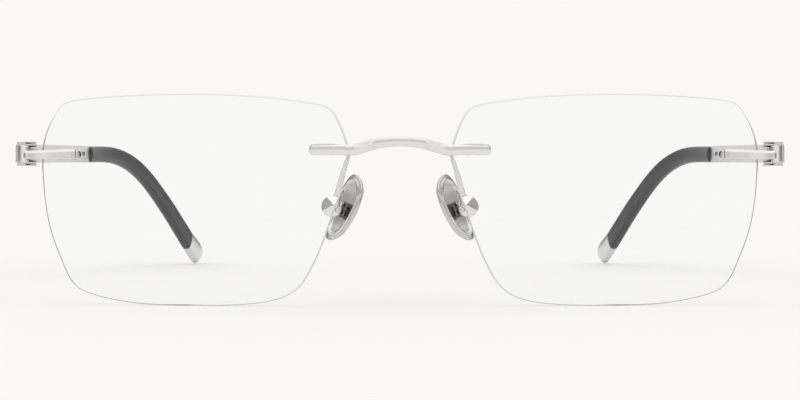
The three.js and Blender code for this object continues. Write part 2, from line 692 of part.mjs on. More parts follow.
function nosePadGeometry() {
  const place = padPlace();
  const [x, z] = PAD_SCREW;
  const { front, back, end, radius, halfHeight } = TONGUE;
  let pad = skin(PAD_RINGS.map(padRing), place);
  // block on the side away from the nose, which carries the tongue
  pad = pad.add(box([-0.2, 1.7], [-0.05, 1.25], [-1.8, 1.1], place));
  // room for the box at every angle the pad rocks to
  for (let turn = -14; turn <= 14; turn += 4) {
    const swing = new THREE.Matrix4()
      .makeTranslation(x, 0, z)
      .multiply(new THREE.Matrix4().makeRotationY(THREE.MathUtils.degToRad(turn)))
      .multiply(new THREE.Matrix4().makeTranslation(-x, 0, -z));
    pad = pad.subtract(
      rod(BUTTON.radius + 0.08, 6.8, BUTTON.back + 0.12, 24, BUTTON.centre, swing),
    );
  }
  const tongue = rod(radius, front, back, 16, PAD_SCREW)
    .add(box([end, x], [front, back], around(z, halfHeight)))
    .subtract(rod(0.41, 6, 12, 14, PAD_SCREW));
  return geometryOf(pad.add(tongue));
}

// ---- assembly ---------------------------------------------------------------
// Both sides share these geometries.
const shared = {
  lens: lensGeometry(),
  bushing: bushingGeometry(),
  plate: plateGeometry(),
  nut: nutGeometry(),
  endpiece: endpieceGeometry(),
  screw: hingeScrewGeometry(),
  washer: washerGeometry(),
  temple: templeGeometry(),
  sleeve: sleeveGeometry(),
  cap: tipCapGeometry(),
  arm: padArmGeometry(),
  button: buttonGeometry(),
  padScrew: padScrewGeometry(),
  pad: nosePadGeometry(),
};

function mesh(name, geometry, material) {
  const piece = new THREE.Mesh(geometry, material);
  piece.name = name;
  return piece;
}

const groupOf = (...children) => new THREE.Group().add(...children);

function clamp(side, where, place) {
  const group = groupOf(mesh(`${where}_clamp_plate_${side}`, shared.plate, metal()));
  place.decompose(group.position, group.quaternion, group.scale);
  // "inner" is the post nearer the edge of the lens
  const innerIndex = where === "bridge" ? 0 : 1;
  POST_X.forEach((x, i) => {
    const which = i === innerIndex ? "inner" : "outer";
    const bushing = mesh(`${where}_bushing_${which}_${side}`, shared.bushing, nylon());
    const nut = mesh(`${where}_nut_${which}_${side}`, shared.nut, polished());
    bushing.position.x = x;
    nut.position.x = x;
    group.add(bushing, nut);
  });
  return group;
}

function hingeHardware(side) {
  const hinge = groupOf(mesh(`hinge_screw_${side}`, shared.screw, polished()));
  hinge.position.set(...PIN, HINGE_Z);
  for (const [level, z] of [["upper", WASHER.middle], ["lower", -WASHER.middle]]) {
    const washer = mesh(`hinge_washer_${level}_${side}`, shared.washer, blackNylon());
    washer.position.z = z;
    hinge.add(washer);
  }
  return hinge;
}

function buildSide(side) {
  const lens = mesh(`lens_${side}`, shared.lens, clearLens());
  lens.position.set(...LENS_CENTRE);
  lens.rotation.copy(LENS_TURN);
  const temple = groupOf(
    mesh(`temple_bar_${side}`, shared.temple, metal()),
    mesh(`temple_sleeve_${side}`, shared.sleeve, sleevePlastic()),
    mesh(`temple_tip_cap_${side}`, shared.cap, metal()),
  );
  const pad = groupOf(
    mesh(`pad_arm_${side}`, shared.arm, metal()),
    mesh(`pad_box_${side}`, shared.button, polished()),
    mesh(`pad_screw_${side}`, shared.padScrew, polished()),
    mesh(`nose_pad_${side}`, shared.pad, polished()),
  );
  return groupOf(
    lens,
    clamp(side, "bridge", nasal),
    clamp(side, "endpiece", temporal),
    mesh(`endpiece_${side}`, shared.endpiece, metal()),
    hingeHardware(side),
    temple,
    pad,
  );
}

const right = buildSide("right");
right.scale.x = -1;
const glasses = groupOf(mesh("bridge", bridgeGeometry(), metal()), buildSide("left"), right);
glasses.position.y = -MID_DEPTH;
export default glasses;
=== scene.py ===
# Rimless glasses. The lenses hang from a bridge and two endpieces by threaded posts; the
# temples turn on upright pins and end in plastic sleeves with metal caps.
# The glasses face -y, with z up and the wearer's left at +x. The temples run back along +y.
import math

import bmesh
import bpy
import numpy as np
from mathutils import Matrix, Vector


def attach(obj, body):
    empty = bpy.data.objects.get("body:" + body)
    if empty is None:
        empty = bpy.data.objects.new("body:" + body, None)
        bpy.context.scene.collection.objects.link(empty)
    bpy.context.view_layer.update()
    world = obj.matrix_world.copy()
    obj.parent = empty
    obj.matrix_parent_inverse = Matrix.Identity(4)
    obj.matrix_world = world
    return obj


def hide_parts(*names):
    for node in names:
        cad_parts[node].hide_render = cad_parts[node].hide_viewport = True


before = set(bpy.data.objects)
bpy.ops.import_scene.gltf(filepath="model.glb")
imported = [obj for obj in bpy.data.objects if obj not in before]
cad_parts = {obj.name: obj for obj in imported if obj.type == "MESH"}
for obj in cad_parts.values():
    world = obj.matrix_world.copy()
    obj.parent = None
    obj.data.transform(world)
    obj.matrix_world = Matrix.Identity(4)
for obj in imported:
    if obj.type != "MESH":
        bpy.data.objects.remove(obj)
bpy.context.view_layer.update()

# Pieces are made in millimetres, for the left side, with y counted from the lens vertices.
# When placed they are scaled to metres and moved forwards (-y) by FRONT_SHIFT.
FRONT_SHIFT = 69.360
SIDES = (("left", 1), ("right", -1))
rad = math.radians


# ---------------------------------------------------------------- curves
def catmull_rom(points, samples, closed=False):
    """Dense points on the centripetal Catmull-Rom curve, and the length reached at each.

    The samples are shared out evenly between the given points, with at least 24 to a span.
    """
    points = np.array(points, float)
    count = len(points)
    t = np.linspace(0, 1, max(24, int(samples / count)), endpoint=False)[:, None]
    spans = []
    for i in range(count if closed else count - 1):
        start, end = points[i], points[(i + 1) % count]
        if closed:
            before, after = points[(i - 1) % count], points[(i + 2) % count]
        else:
            before = points[i - 1] if i else 2 * start - end
            after = points[i + 2] if i + 2 < count else 2 * end - start
        lead, knot, tail = (
            max(np.linalg.norm(chord) ** 0.5, 1e-6)
            for chord in (start - before, end - start, after - end)
        )
        step = (end - start) / knot
        leave = ((start - before) / lead - (end - before) / (lead + knot) + step) * knot
        arrive = (step - (after - start) / (knot + tail) + (after - end) / tail) * knot
        spans.append(
            (2 * t**3 - 3 * t**2 + 1) * start
            + (t**3 - 2 * t**2 + t) * leave
            + (-2 * t**3 + 3 * t**2) * end
            + (t**3 - t**2) * arrive
        )
    dense = np.vstack(spans + [points[:1] if closed else points[-1:]])
    lengths = np.linalg.norm(np.diff(dense, axis=0), axis=1)
    return dense, np.concatenate([[0], np.cumsum(lengths)])


class Curve:
    """A curve read by its length in millimetres."""

    def __init__(self, points, closed=False):
        self.dense, self.reached = catmull_rom(points, 2400, closed)
        self.length = self.reached[-1]

    def at(self, distance):
        distance = np.clip(distance, 0, self.length)
        return np.array([np.interp(distance, self.reached, axis) for axis in self.dense.T]).T

    def along(self, distance, reach=0.12):
        """The unit tangent, taken over a short reach either way."""
        ahead = self.at(np.minimum(distance + reach, self.length))
        chord = ahead - self.at(np.maximum(distance - reach, 0))
        return chord / np.linalg.norm(chord, axis=-1, keepdims=True)

    def where(self, y):
        """The length at which y is reached; y grows along the curve."""
        return float(np.interp(y, self.dense[:, 1], self.reached))


def smooth(t):
    t = np.clip(t, 0, 1)
    return t * t * (3 - 2 * t)


def round_steps(radius, first_angle, count):
    """Distances from an end rounded to radius, at equal angles up to a quarter turn."""
    return radius * (1 - np.cos(np.linspace(first_angle, math.pi / 2, count)))


def round_inset(radius, distance):
    """How far an end rounded to radius draws in at a distance from that end."""
    return radius - np.sqrt(np.maximum(0.0, radius**2 - np.maximum(0.0, radius - distance) ** 2))


def superellipse(count, power):
    angles = (np.arange(count) + 0.5) / count * 2 * math.pi
    cos, sin = np.cos(angles), np.sin(angles)
    return np.stack(
        [np.sign(cos) * np.abs(cos) ** (2 / power), np.sign(sin) * np.abs(sin) ** (2 / power)], 1
    )


def rounded_polygon(points, radius, steps=3):
    """A closed polygon with every corner rounded by steps + 1 points."""
    points = np.array(points, float)
    result = []
    for i, corner in enumerate(points):
        back, ahead = points[i - 1] - corner, points[(i + 1) % len(points)] - corner
        back_length, ahead_length = np.linalg.norm(back), np.linalg.norm(ahead)
        back, ahead = back / back_length, ahead / ahead_length
        half = math.acos(np.clip(back @ ahead, -1, 1)) / 2
        trim = min(radius / max(math.tan(half), 1e-3), 0.45 * back_length, 0.45 * ahead_length)
        first, last = corner + back * trim, corner + ahead * trim
        for k in range(steps + 1):
            t = k / steps
            result.append((1 - t) ** 2 * first + 2 * t * (1 - t) * corner + t**2 * last)
    return np.array(result)


def rounded_rect(radius, steps=3):
    """A sweep section: a rectangle with rounded corners."""

    def section(height, depth):
        x, y = depth / 2, height / 2
        return rounded_polygon([(x, y), (-x, y), (-x, -y), (x, -y)], radius, steps)

    return section


# ---------------------------------------------------------------- shapes in mm
# A shape is a tuple (vertices, faces), or a Blender mesh once it has been through combined().
def skin(rings, closed=False):
    """Quads between rings of equal length, capped unless the last ring joins the first."""
    size = len(rings[0])
    count = len(rings)
    faces = []
    for j in range(count if closed else count - 1):
        low, high = j * size, ((j + 1) % count) * size
        for i in range(size):
            k = (i + 1) % size
            faces.append((low + i, low + k, high + k, high + i))
    if not closed:
        faces.append(tuple(reversed(range(size))))
        faces.append(tuple(range((count - 1) * size, count * size)))
    return outward(np.vstack([np.array(ring, float) for ring in rings]), faces)


def outward(vertices, faces):
    """The shape with its faces turned outwards, judged by the sign of its volume."""
    volume = 0.0
    for face in faces:
        first = vertices[face[0]]
        for i in range(1, len(face) - 1):
            volume += float(np.dot(first, np.cross(vertices[face[i]], vertices[face[i + 1]])))
    if volume < 0:
        faces = [tuple(reversed(face)) for face in faces]
    return vertices, faces


def sweep(centres, tangents, height, depth, section, lean=0.0, up=(0, 0, 1)):
    """A section swept along a path.

    The section is an array of [side, up] from -1 to 1, or a function of (height, depth).
    Side is the tangent crossed with up. Lean tips the top of a ring back along the path.
    """
    up = np.array(up, float)
    height, depth, lean = (
        np.broadcast_to(np.array(value, float), (len(centres),)) for value in (height, depth, lean)
    )
    rings = []
    for i, centre in enumerate(centres):
        along = tangents[i] / np.linalg.norm(tangents[i])
        upright = up - along * (along @ up)
        upright /= np.linalg.norm(upright)
        side = np.cross(along, upright)
        if callable(section):
            outline = section(height[i], depth[i])
        else:
            outline = section * np.array([depth[i] / 2, height[i] / 2])
        ring = centre + np.outer(outline[:, 0], side) + np.outer(outline[:, 1], upright)
        rings.append(ring - np.outer(outline[:, 1] * lean[i], along))
    return skin(rings)


def turned(profile, sides, axis="y", at=(0, 0, 0), closed=False):
    """A profile of (radius, place along the axis) turned about the axis and moved to a point."""
    angles = np.arange(sides) / sides * 2 * math.pi
    rings = []
    for radius, place_on_axis in profile:
        radius = max(radius, 1e-5)
        level = np.full(sides, place_on_axis)
        ring = np.stack([radius * np.cos(angles), level, radius * np.sin(angles)], 1)
        rings.append(ring[:, [0, 2, 1]] if axis == "z" else ring)
    return shifted(skin(rings, closed), *at)


def rod(radius, start, end, sides, axis="y", at=(0, 0, 0)):
    return turned([(radius, start), (radius, end)], sides, axis, at)


def block(x_span, y_span, z_span):
    vertices = np.array([(x, y, z) for x in x_span for y in y_span for z in z_span], float)
    faces = [(0, 1, 3, 2), (4, 6, 7, 5), (0, 4, 5, 1), (2, 3, 7, 6), (0, 2, 6, 4), (1, 5, 7, 3)]
    return outward(vertices, faces)


def about(centre, half):
    """The span that reaches half either way from a centre."""
    return centre - half, centre + half


def moved(shape, matrix):
    vertices, faces = shape
    matrix = np.array(matrix, float)
    if np.linalg.det(matrix[:3, :3]) < 0:
        faces = [tuple(reversed(face)) for face in faces]
    return vertices @ matrix[:3, :3].T + matrix[:3, 3], faces


def shifted(shape, x=0, y=0, z=0):
    return shape[0] + np.array([x, y, z], float), shape[1]


def as_mesh(shape):
    """A new Blender mesh of a shape."""
    if not isinstance(shape, tuple):
        return shape.copy()
    mesh = bpy.data.meshes.new("shape")
    mesh.from_pydata([tuple(point) for point in shape[0]], [], shape[1])
    return mesh


def new_object(name, data):
    made = bpy.data.objects.new(name, data)
    bpy.context.scene.collection.objects.link(made)
    return made


def combined(shape, add=(), cut=()):
    """The shape with others added and then others cut away, in turn, as a mesh."""
    body = new_object("body", as_mesh(shape))
    used = [body]
    for operation, others in (("UNION", add), ("DIFFERENCE", cut)):
        for other in others:
            modifier = body.modifiers.new("boolean", "BOOLEAN")
            modifier.solver = "EXACT"
            modifier.operation = operation
            modifier.object = new_object("tool", as_mesh(other))
            used.append(modifier.object)
    graph = bpy.context.evaluated_depsgraph_get()
    result = bpy.data.meshes.new_from_object(body.evaluated_get(graph))
    for spent in used:
        mesh = spent.data
        bpy.data.objects.remove(spent)
        bpy.data.meshes.remove(mesh)
    return result


def keep_largest(mesh):
    """Drops all but the connected part with the most vertices."""
    work = bmesh.new()
    work.from_mesh(mesh)
    seen, largest = set(), []
    for start in work.verts:
        if start in seen:
            continue
        seen.add(start)
        group = [start]
        # the group grows as its neighbours are found
        for vertex in group:
            for edge in vertex.link_edges:
                other = edge.other_vert(vertex)
                if other not in seen:
                    seen.add(other)
                    group.append(other)
        if len(group) > len(largest):
            largest = group
    keep = set(largest)
    loose = [vertex for vertex in work.verts if vertex not in keep]
    bmesh.ops.delete(work, geom=loose, context="VERTS")
    work.to_mesh(mesh)
    work.free()
    return mesh


def place(node, shape, materials, slot, sign=1, body="front", sharp=34, where=Matrix(), mark=None):
    """Makes the object that stands for a CAD node, from a shape in mm, and lets it ride a body.

    Sign -1 mirrors it to the right side, where moves it first, and mark sets its faces'
    materials.
    """
    mesh = as_mesh(shape)
    mesh.name = "v_" + node
    mesh.transform(where)
    to_metres = Matrix.Diagonal((0.001 * sign, 0.001, 0.001, 1))
    mesh.transform(Matrix.Translation((0, -FRONT_SHIFT / 1000, 0)) @ to_metres)
    if sign < 0:
        mesh.flip_normals()
    mesh.validate()
    mesh.shade_smooth()
    mesh.set_sharp_from_angle(angle=rad(sharp))
    piece = new_object("v_" + node, mesh)
    mesh.materials.clear()
    for material in materials:
        mesh.materials.append(material)
    if mark:
        mark(mesh)
    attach(piece, body)
    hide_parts(node)


def in_mm(point):
    """A point of a placed mesh in millimetres, as on the left side."""
    return Vector((abs(point.x) * 1000, point.y * 1000 + FRONT_SHIFT, point.z * 1000))


# ---------------------------------------------------------------- shader nodes
class Shader:
    """The node tree of a material or world, with short ways to add to it."""

    def __init__(self, owner):
        owner.use_nodes = True
        self.tree = owner.node_tree
        self.tree.nodes.clear()

    def add(self, kind, inputs=None, **settings):
        """A new node. An input given as a socket is linked, and any other is set."""
        node = self.tree.nodes.new("ShaderNode" + kind)
        for key, value in settings.items():
            setattr(node, key, value)
        for key, value in (inputs or {}).items():
            if isinstance(value, bpy.types.NodeSocket):
                self.tree.links.new(value, node.inputs[key])
            else:
                node.inputs[key].default_value = value
        return node

    def noise(self, scale, detail, roughness=0.5, stretch=(1, 1, 1)):
        """Noise over object coordinates in millimetres."""
        mapping = self.add("Mapping", {
            "Vector": self.add("TexCoord").outputs["Object"],
            "Scale": tuple(1000 * share for share in stretch),
        })
        return self.add("TexNoise", {
            "Vector": mapping.outputs["Vector"],
            "Scale": scale,
            "Detail": detail,
            "Roughness": roughness,
        }).outputs["Fac"]

    def remap(self, value, source, target=(0.0, 1.0)):
        return self.add("MapRange", {
            "Value": value,
            "From Min": source[0],
            "From Max": source[1],
            "To Min": target[0],
            "To Max": target[1],
        }).outputs["Result"]

    def mix(self, factor, first, second):
        """A mix of two colours, each a socket or an (r, g, b)."""
        first, second = ((*c, 1) if isinstance(c, tuple) else c for c in (first, second))
        # inputs 6 and 7 and output 2 are the colours of a Mix node
        return self.add("Mix", {0: factor, 6: first, 7: second}, data_type="RGBA").outputs[2]

    def blend(self, factor, first, second):
        """A mix of two shaders."""
        return self.add("MixShader", {0: factor, 1: first, 2: second}).outputs[0]

    def math(self, operation, *values):
        return self.add("Math", dict(enumerate(values)), operation=operation).outputs[0]

    def scaled(self, colour, factor):
        return self.add(
            "VectorMath", {0: colour, "Scale": factor}, operation="SCALE"
        ).outputs[0]

    def ramp(self, value, stops, tint=(1, 1, 1), ease="LINEAR"):
        """A colour ramp of (position, brightness) stops."""
        node = self.add("ValToRGB", {0: value})
        band = node.color_ramp
        band.interpolation = ease
        while len(band.elements) > 1:
            band.elements.remove(band.elements[-1])
        # each stop is made where it belongs, since a ramp sorts them as they move
        for i, (position, level) in enumerate(stops):
            stop = band.elements.new(position) if i else band.elements[0]
            stop.position = position
            stop.color = (*(level * share for share in tint), 1)
        return node.outputs[0]

    def bump(self, height, strength):
        return self.add(
            "Bump", {"Strength": strength, "Distance": 0.00002, "Height": height}
        ).outputs["Normal"]

    def edge_wear(self, radius_mm):
        """0 on flats to 1 along edges, by how far a rounded normal leans from the true one."""
        rounded = self.add("Bevel", {"Radius": radius_mm / 1000}, samples=4).outputs[0]
        true = self.add("NewGeometry").outputs["Normal"]
        match = self.add("VectorMath", {0: rounded, 1: true}, operation="DOT_PRODUCT")
        return self.remap(match.outputs["Value"], source=(0.995, 0.86))

    def painted_crevice_shade(self, low):
        """Painted shade from ambient occlusion: 1 in the open, falling to low in gaps, where
        polished metal would mirror only itself.
        """
        occlusion = self.add("AmbientOcclusion", {"Distance": 0.0011}, samples=8)
        return self.remap(occlusion.outputs["AO"], source=(0.12, 0.62), target=(low, 1.0))


def new_material(name):
    material = bpy.data.materials.new(name)
    return material, Shader(material)


# ---------------------------------------------------------------- materials
def metal(name, base, tone, rough, grain, bump, deep=0.12, outline=0.0):
    """Polished metal with fine grain, soft drift of tone, smudges and brighter edges, and painted
    shade.

    Tone is how far the colour drifts, rough the range of roughness, grain the stretch of the
    fine noise, deep the brightness of the painted shade left in gaps, and outline the strength of
    the painted shade at grazing angles.
    """
    material, shader = new_material(name)
    fine = shader.noise(scale=6.0, detail=4.0, roughness=0.6, stretch=grain)
    drift = shader.noise(scale=0.35, detail=2.0)
    smudge = shader.noise(scale=1.4, detail=5.0, roughness=0.65)
    wear = shader.edge_wear(radius_mm=0.12)
    darker = tuple(max(0.0, c - tone) for c in base)
    lighter = tuple(min(1.0, c + tone) for c in base)
    worn = tuple(min(1.0, c * 1.1) for c in base)
    colour = shader.mix(shader.remap(drift, source=(0.3, 0.7)), darker, base)
    grain_share = shader.remap(fine, source=(0.35, 0.65), target=(0.0, 0.25))
    colour = shader.mix(grain_share, colour, lighter)
    colour = shader.mix(shader.math("MULTIPLY", wear, 0.5), colour, worn)
    # painted shade in gaps, from ambient occlusion, multiplied into the colour
    shade = shader.painted_crevice_shade(deep)
    if outline:
        # painted shade: the colour darkens towards grazing angles, drawing a dark outline
        facing = shader.add("LayerWeight", {"Blend": 0.5}).outputs["Facing"]
        painted_grazing_shade = shader.remap(facing, source=(0.35, 0.9), target=(1.0, 1.0 - outline))
        shade = shader.math("MULTIPLY", shade, painted_grazing_shade)
    smudged = shader.remap(smudge, source=(0.3, 0.7), target=rough)
    smoother = shader.remap(wear, source=(0.0, 1.0), target=(1.0, 0.8))
    surface = shader.add("BsdfPrincipled", {
        "Metallic": 1.0,
        "Base Color": shader.scaled(colour, shade),
        "Roughness": shader.math("MULTIPLY", smudged, smoother),
        "Normal": shader.bump(fine, strength=bump),
    })
    shader.add("OutputMaterial", {0: surface.outputs[0]})
    return material


def plastic(name, base, lighter, rough):
    """Dark moulded plastic, cloudy and finely pored, with paler and smoother edges."""
    material, shader = new_material(name)
    cloud = shader.noise(scale=0.22, detail=4.0, roughness=0.6)
    pore = shader.noise(scale=9.0, detail=3.0, roughness=0.55)
    wear = shader.edge_wear(radius_mm=0.25)
    colour = shader.mix(shader.remap(cloud, source=(0.35, 0.65)), base, lighter)
    worn = tuple(c * 1.6 for c in lighter)
    colour = shader.mix(shader.math("MULTIPLY", wear, 0.35), colour, worn)
    clouded = shader.remap(cloud, source=(0.3, 0.7), target=rough)
    smoother = shader.math("MULTIPLY", wear, 0.08)
    surface = shader.add("BsdfPrincipled", {
        "Base Color": colour,
        "Roughness": shader.math("SUBTRACT", clouded, smoother),
        "Coat Roughness": 0.2,
        "Normal": shader.bump(pore, strength=0.12),
    })
    shader.add("OutputMaterial", {0: surface.outputs[0]})
    return material


# Painted light and shade on the ground lens edge, by the way it faces: a turn from 0 to 1,
# with 0.5 away from the nose, 0.75 up and 0.25 down. The ends face the nose.
RIM_PAINTED_SHADE_STOPS = [
    (0.0, 0.72), (0.12, 0.68), (0.25, 0.56), (0.34, 0.42), (0.42, 0.34), (0.497, 0.33),
    (0.512, 0.8), (0.6, 0.9), (0.75, 0.9), (0.9, 0.86), (1.0, 0.72),
]


def rim_painted_shade(shader, ground):
    """Painted light and shade on a lens edge: darkest low on the temporal side, palest on top and
    by the nose.
    """
    geometry = shader.add("NewGeometry").outputs
    normal = shader.add("SeparateXYZ", {0: geometry["Normal"]}).outputs
    position = shader.add("SeparateXYZ", {0: geometry["Position"]}).outputs
    # seen from inside the lens, the normal comes turned round
    inside = shader.remap(geometry["Backfacing"], source=(0.0, 1.0), target=(1.0, -1.0))
    side = shader.math("SIGN", position["X"])
    outwards = shader.math("MULTIPLY", shader.math("MULTIPLY", normal["X"], side), inside)
    turn = shader.math("ARCTAN2", shader.math("MULTIPLY", normal["Z"], inside), outwards)
    # painted light and shade by the way the edge faces
    grey = shader.ramp(shader.remap(turn, source=(-math.pi, math.pi)), RIM_PAINTED_SHADE_STOPS)
    # painted shade: a little darker where the edge faces forwards or back
    fore_aft = shader.math("ABSOLUTE", normal["Y"])
    bevel = shader.remap(fore_aft, source=(0.25, 0.6), target=(1.0, 0.85))
    mottle = shader.remap(ground, source=(0.3, 0.7), target=(0.95, 1.08))
    return shader.scaled(grey, shader.math("MULTIPLY", bevel, mottle))


def nylon_grey(shader, ground):
    grey = (0.78, 0.78, 0.76)
    return shader.mix(ground, grey, tuple(min(1.0, c * 1.15) for c in grey))


def clear(name, tint, rough, mirror, grey=None, grey_share=0.0):
    """Clear plastic that bends what is seen through it and mirrors more at grazing angles.

    Mirror scales the reflection. Grey makes the colour of a matt share laid over it;
    for the lens edge that colour holds painted light and shade.
    """
    material, shader = new_material(name)
    drift = shader.noise(scale=0.12, detail=2.0)
    refraction = shader.add("BsdfRefraction", {
        "IOR": 1.5,
        "Color": shader.mix(drift, tint, tuple(min(1.0, c + 0.004) for c in tint)),
        "Roughness": rough,
    })
    wipe = shader.noise(scale=1.1, detail=4.0, roughness=0.6, stretch=(0.3, 1, 0.9))
    wiped = shader.remap(wipe, source=(0.35, 0.75), target=(0.01 + rough, 0.05 + rough))
    glossy = shader.add("BsdfGlossy", {"Roughness": wiped})
    fresnel = shader.add("Fresnel", {"IOR": 1.5}).outputs[0]
    mirrored = shader.math("MULTIPLY", fresnel, mirror)
    surface = shader.blend(mirrored, refraction.outputs[0], glossy.outputs[0])
    if grey is not None:
        ground = shader.noise(scale=5.0, detail=4.0, roughness=0.6)
        matt = shader.add("BsdfDiffuse", {"Color": grey(shader, ground)})
        surface = shader.blend(grey_share, surface, matt.outputs[0])
    # light for shadows and matt surfaces passes straight through
    through = tuple(c * (1 - 0.12 * grey_share) for c in tint)
    transparent = shader.add("BsdfTransparent", {"Color": (*through, 1)})
    ray = shader.add("LightPath").outputs
    straight = shader.math("MAXIMUM", ray["Is Shadow Ray"], ray["Is Diffuse Ray"])
    surface = shader.blend(straight, surface, transparent.outputs[0])
    shader.add("OutputMaterial", {0: surface})
    return material


SILVER = metal(
    "silver_satin", base=(0.79, 0.785, 0.775), tone=0.03, rough=(0.1, 0.16),
    grain=(0.5, 8, 8), bump=0.006, outline=0.55,
)
BACKING = metal(
    "silver_backing", base=(0.79, 0.785, 0.775), tone=0.03, rough=(0.14, 0.22),
    grain=(0.5, 8, 8), bump=0.006, deep=0.8,
)
SILVER_LONG = metal(
    "silver_temple", base=(0.79, 0.783, 0.773), tone=0.02, rough=(0.26, 0.34),
    grain=(3, 0.5, 3), bump=0.006,
)
POLISHED = metal(
    "silver_polished", base=(0.83, 0.825, 0.82), tone=0.04, rough=(0.05, 0.1),
    grain=(3, 3, 3), bump=0.004, outline=0.6,
)
PAD = metal(
    "pad_polished", base=(0.78, 0.775, 0.77), tone=0.04, rough=(0.05, 0.1),
    grain=(3, 3, 3), bump=0.004, outline=0.5,
)
# A darker copy of the pad metal for its thick edge: painted shade.
PAD_EDGE_PAINTED_SHADE = metal(
    "pad_edge_painted_shade", base=(0.64, 0.635, 0.63), tone=0.04, rough=(0.05, 0.1),
    grain=(3, 3, 3), bump=0.004, outline=0.5,
)
# A darker copy of the box metal for one front facet: painted shade.
FACET_PAINTED_SHADE = metal(
    "box_facet_painted_shade", base=(0.42, 0.415, 0.41), tone=0.08, rough=(0.08, 0.16),
    grain=(1, 1, 1), bump=0.004,
)
# Dark metal on the pad's boss: painted shade for the dark gap beside the box.
PAINTED_BOSS_SHADE = metal(
    "pad_boss_painted_shade", base=(0.16, 0.158, 0.155), tone=0.04, rough=(0.08, 0.16),
    grain=(3, 3, 3), bump=0.004, deep=0.1,
)
HARDWARE = metal(
    "hardware_steel", base=(0.74, 0.735, 0.73), tone=0.04, rough=(0.1, 0.18),
    grain=(3, 3, 3), bump=0.01, deep=0.5,
)
CAP = metal(
    "tip_cap_metal", base=(0.74, 0.736, 0.73), tone=0.03, rough=(0.2, 0.3),
    grain=(3, 3, 3), bump=0.006, deep=0.6,
)
SLEEVE = plastic(
    "sleeve_plastic", base=(0.040, 0.038, 0.040), lighter=(0.052, 0.050, 0.053),
    rough=(0.32, 0.44),
)
LENS = clear("lens_face", tint=(0.994, 0.996, 0.996), rough=0.0, mirror=0.12)
# The lens edge's matt share carries painted light and shade, set by the way the edge faces.
RIM = clear(
    "lens_edge", tint=(0.9, 0.9, 0.9), rough=0.2, mirror=0.5, grey=rim_painted_shade, grey_share=0.8
)
WASHER = plastic(
    "washer_nylon", base=(0.012, 0.012, 0.012), lighter=(0.02, 0.02, 0.02), rough=(0.4, 0.5)
)
# Dark colour for the oval mark's floor and wall.
OVAL_MARK_DARK = plastic("oval_mark_dark", base=(0.1, 0.1, 0.1), lighter=(0.13, 0.13, 0.13), rough=(0.4, 0.5))
NYLON = clear(
    "bushing_nylon", tint=(0.9, 0.9, 0.89), rough=0.3, mirror=0.5,
    grey=nylon_grey, grey_share=0.6,
)

# ---------------------------------------------------------------- lens
LENS_CENTRE = (36.5, 0, 18.71)
LENS_RADIUS = 130.0  # of the front surface
LENS_THICKNESS = 2.0
LENS_BEVEL = 0.2
LENS_WRAP, LENS_TILT = rad(4), rad(5)
# The edge of the left lens as (across, up) from its centre; across grows away from the nose.
LENS_OUTLINE = [
    (-1.16, 18.94), (4.31, 18.93), (9.84, 18.77), (15.48, 18.44), (20.61, 17.97), (22.71, 17.56),
    (23.83, 17.06), (24.59, 16.34), (25.66, 14.77), (26.63, 12.97), (27.38, 11.04), (27.76, 9.32),
    (27.86, 6.58), (27.75, 3.81), (27.52, 0.5), (27.01, -3.4), (26.38, -6.15), (25.69, -8.32),
    (24.82, -10.66), (24.05, -12.63), (23.11, -14.51), (22.01, -15.81), (20.51, -16.68),
    (17.91, -17.45), (14.79, -18.08), (10.55, -18.63), (4.96, -18.89), (-0.75, -18.9),
    (-5.24, -18.85), (-9.71, -18.6), (-13.12, -18.15), (-16.05, -17.18), (-18.08, -15.85),
    (-19.64, -13.86), (-20.71, -11.95), (-22.04, -9.13), (-22.96, -6.74), (-24.29, -2.97),
    (-25.82, 1.33), (-26.82, 5.25), (-27.42, 7.6), (-27.29, 8.91), (-26.87, 10.32),
    (-26.42, 11.78), (-25.79, 13.31), (-24.97, 14.98), (-24.05, 16.15), (-22.81, 16.77),
    (-20.24, 17.3), (-15.22, 18.07), (-10.18, 18.55), (-5.78, 18.81),
]
# Rings over each face, as shares of the outline.
FACE_SHARES = [
    0.02, 0.08, 0.16, 0.26, 0.36, 0.46, 0.56, 0.66, 0.74, 0.81, 0.87, 0.92, 0.96, 0.985,
]
LENS_PLACE = (
    Matrix.Translation(LENS_CENTRE)
    @ Matrix.Rotation(LENS_WRAP, 4, "Z")
    @ Matrix.Rotation(LENS_TILT, 4, "X")
)


def sag(across, up, radius):
    """How far a sphere falls back behind its vertex."""
    return radius - np.sqrt(radius * radius - across * across - up * up)


def mount_place(across, up):
    """A frame on the front of the lens, with y into the lens and x away from the nose."""
    point = Vector((across, float(sag(across, up, LENS_RADIUS)), up))
    inwards = (LENS_PLACE.to_3x3() @ (Vector((0, LENS_RADIUS, 0)) - point)).normalized()
    x_axis = inwards.cross(Vector((0, 0, 1))).normalized()
    z_axis = x_axis.cross(inwards).normalized()
    frame = Matrix((x_axis, inwards, z_axis)).transposed().to_4x4()
    frame.translation = LENS_PLACE @ point
    return frame


NASAL = mount_place(-23.35, 9.0)
TEMPORAL = mount_place(23.4, 8.07)
POST_X = (-1.25, 1.25)


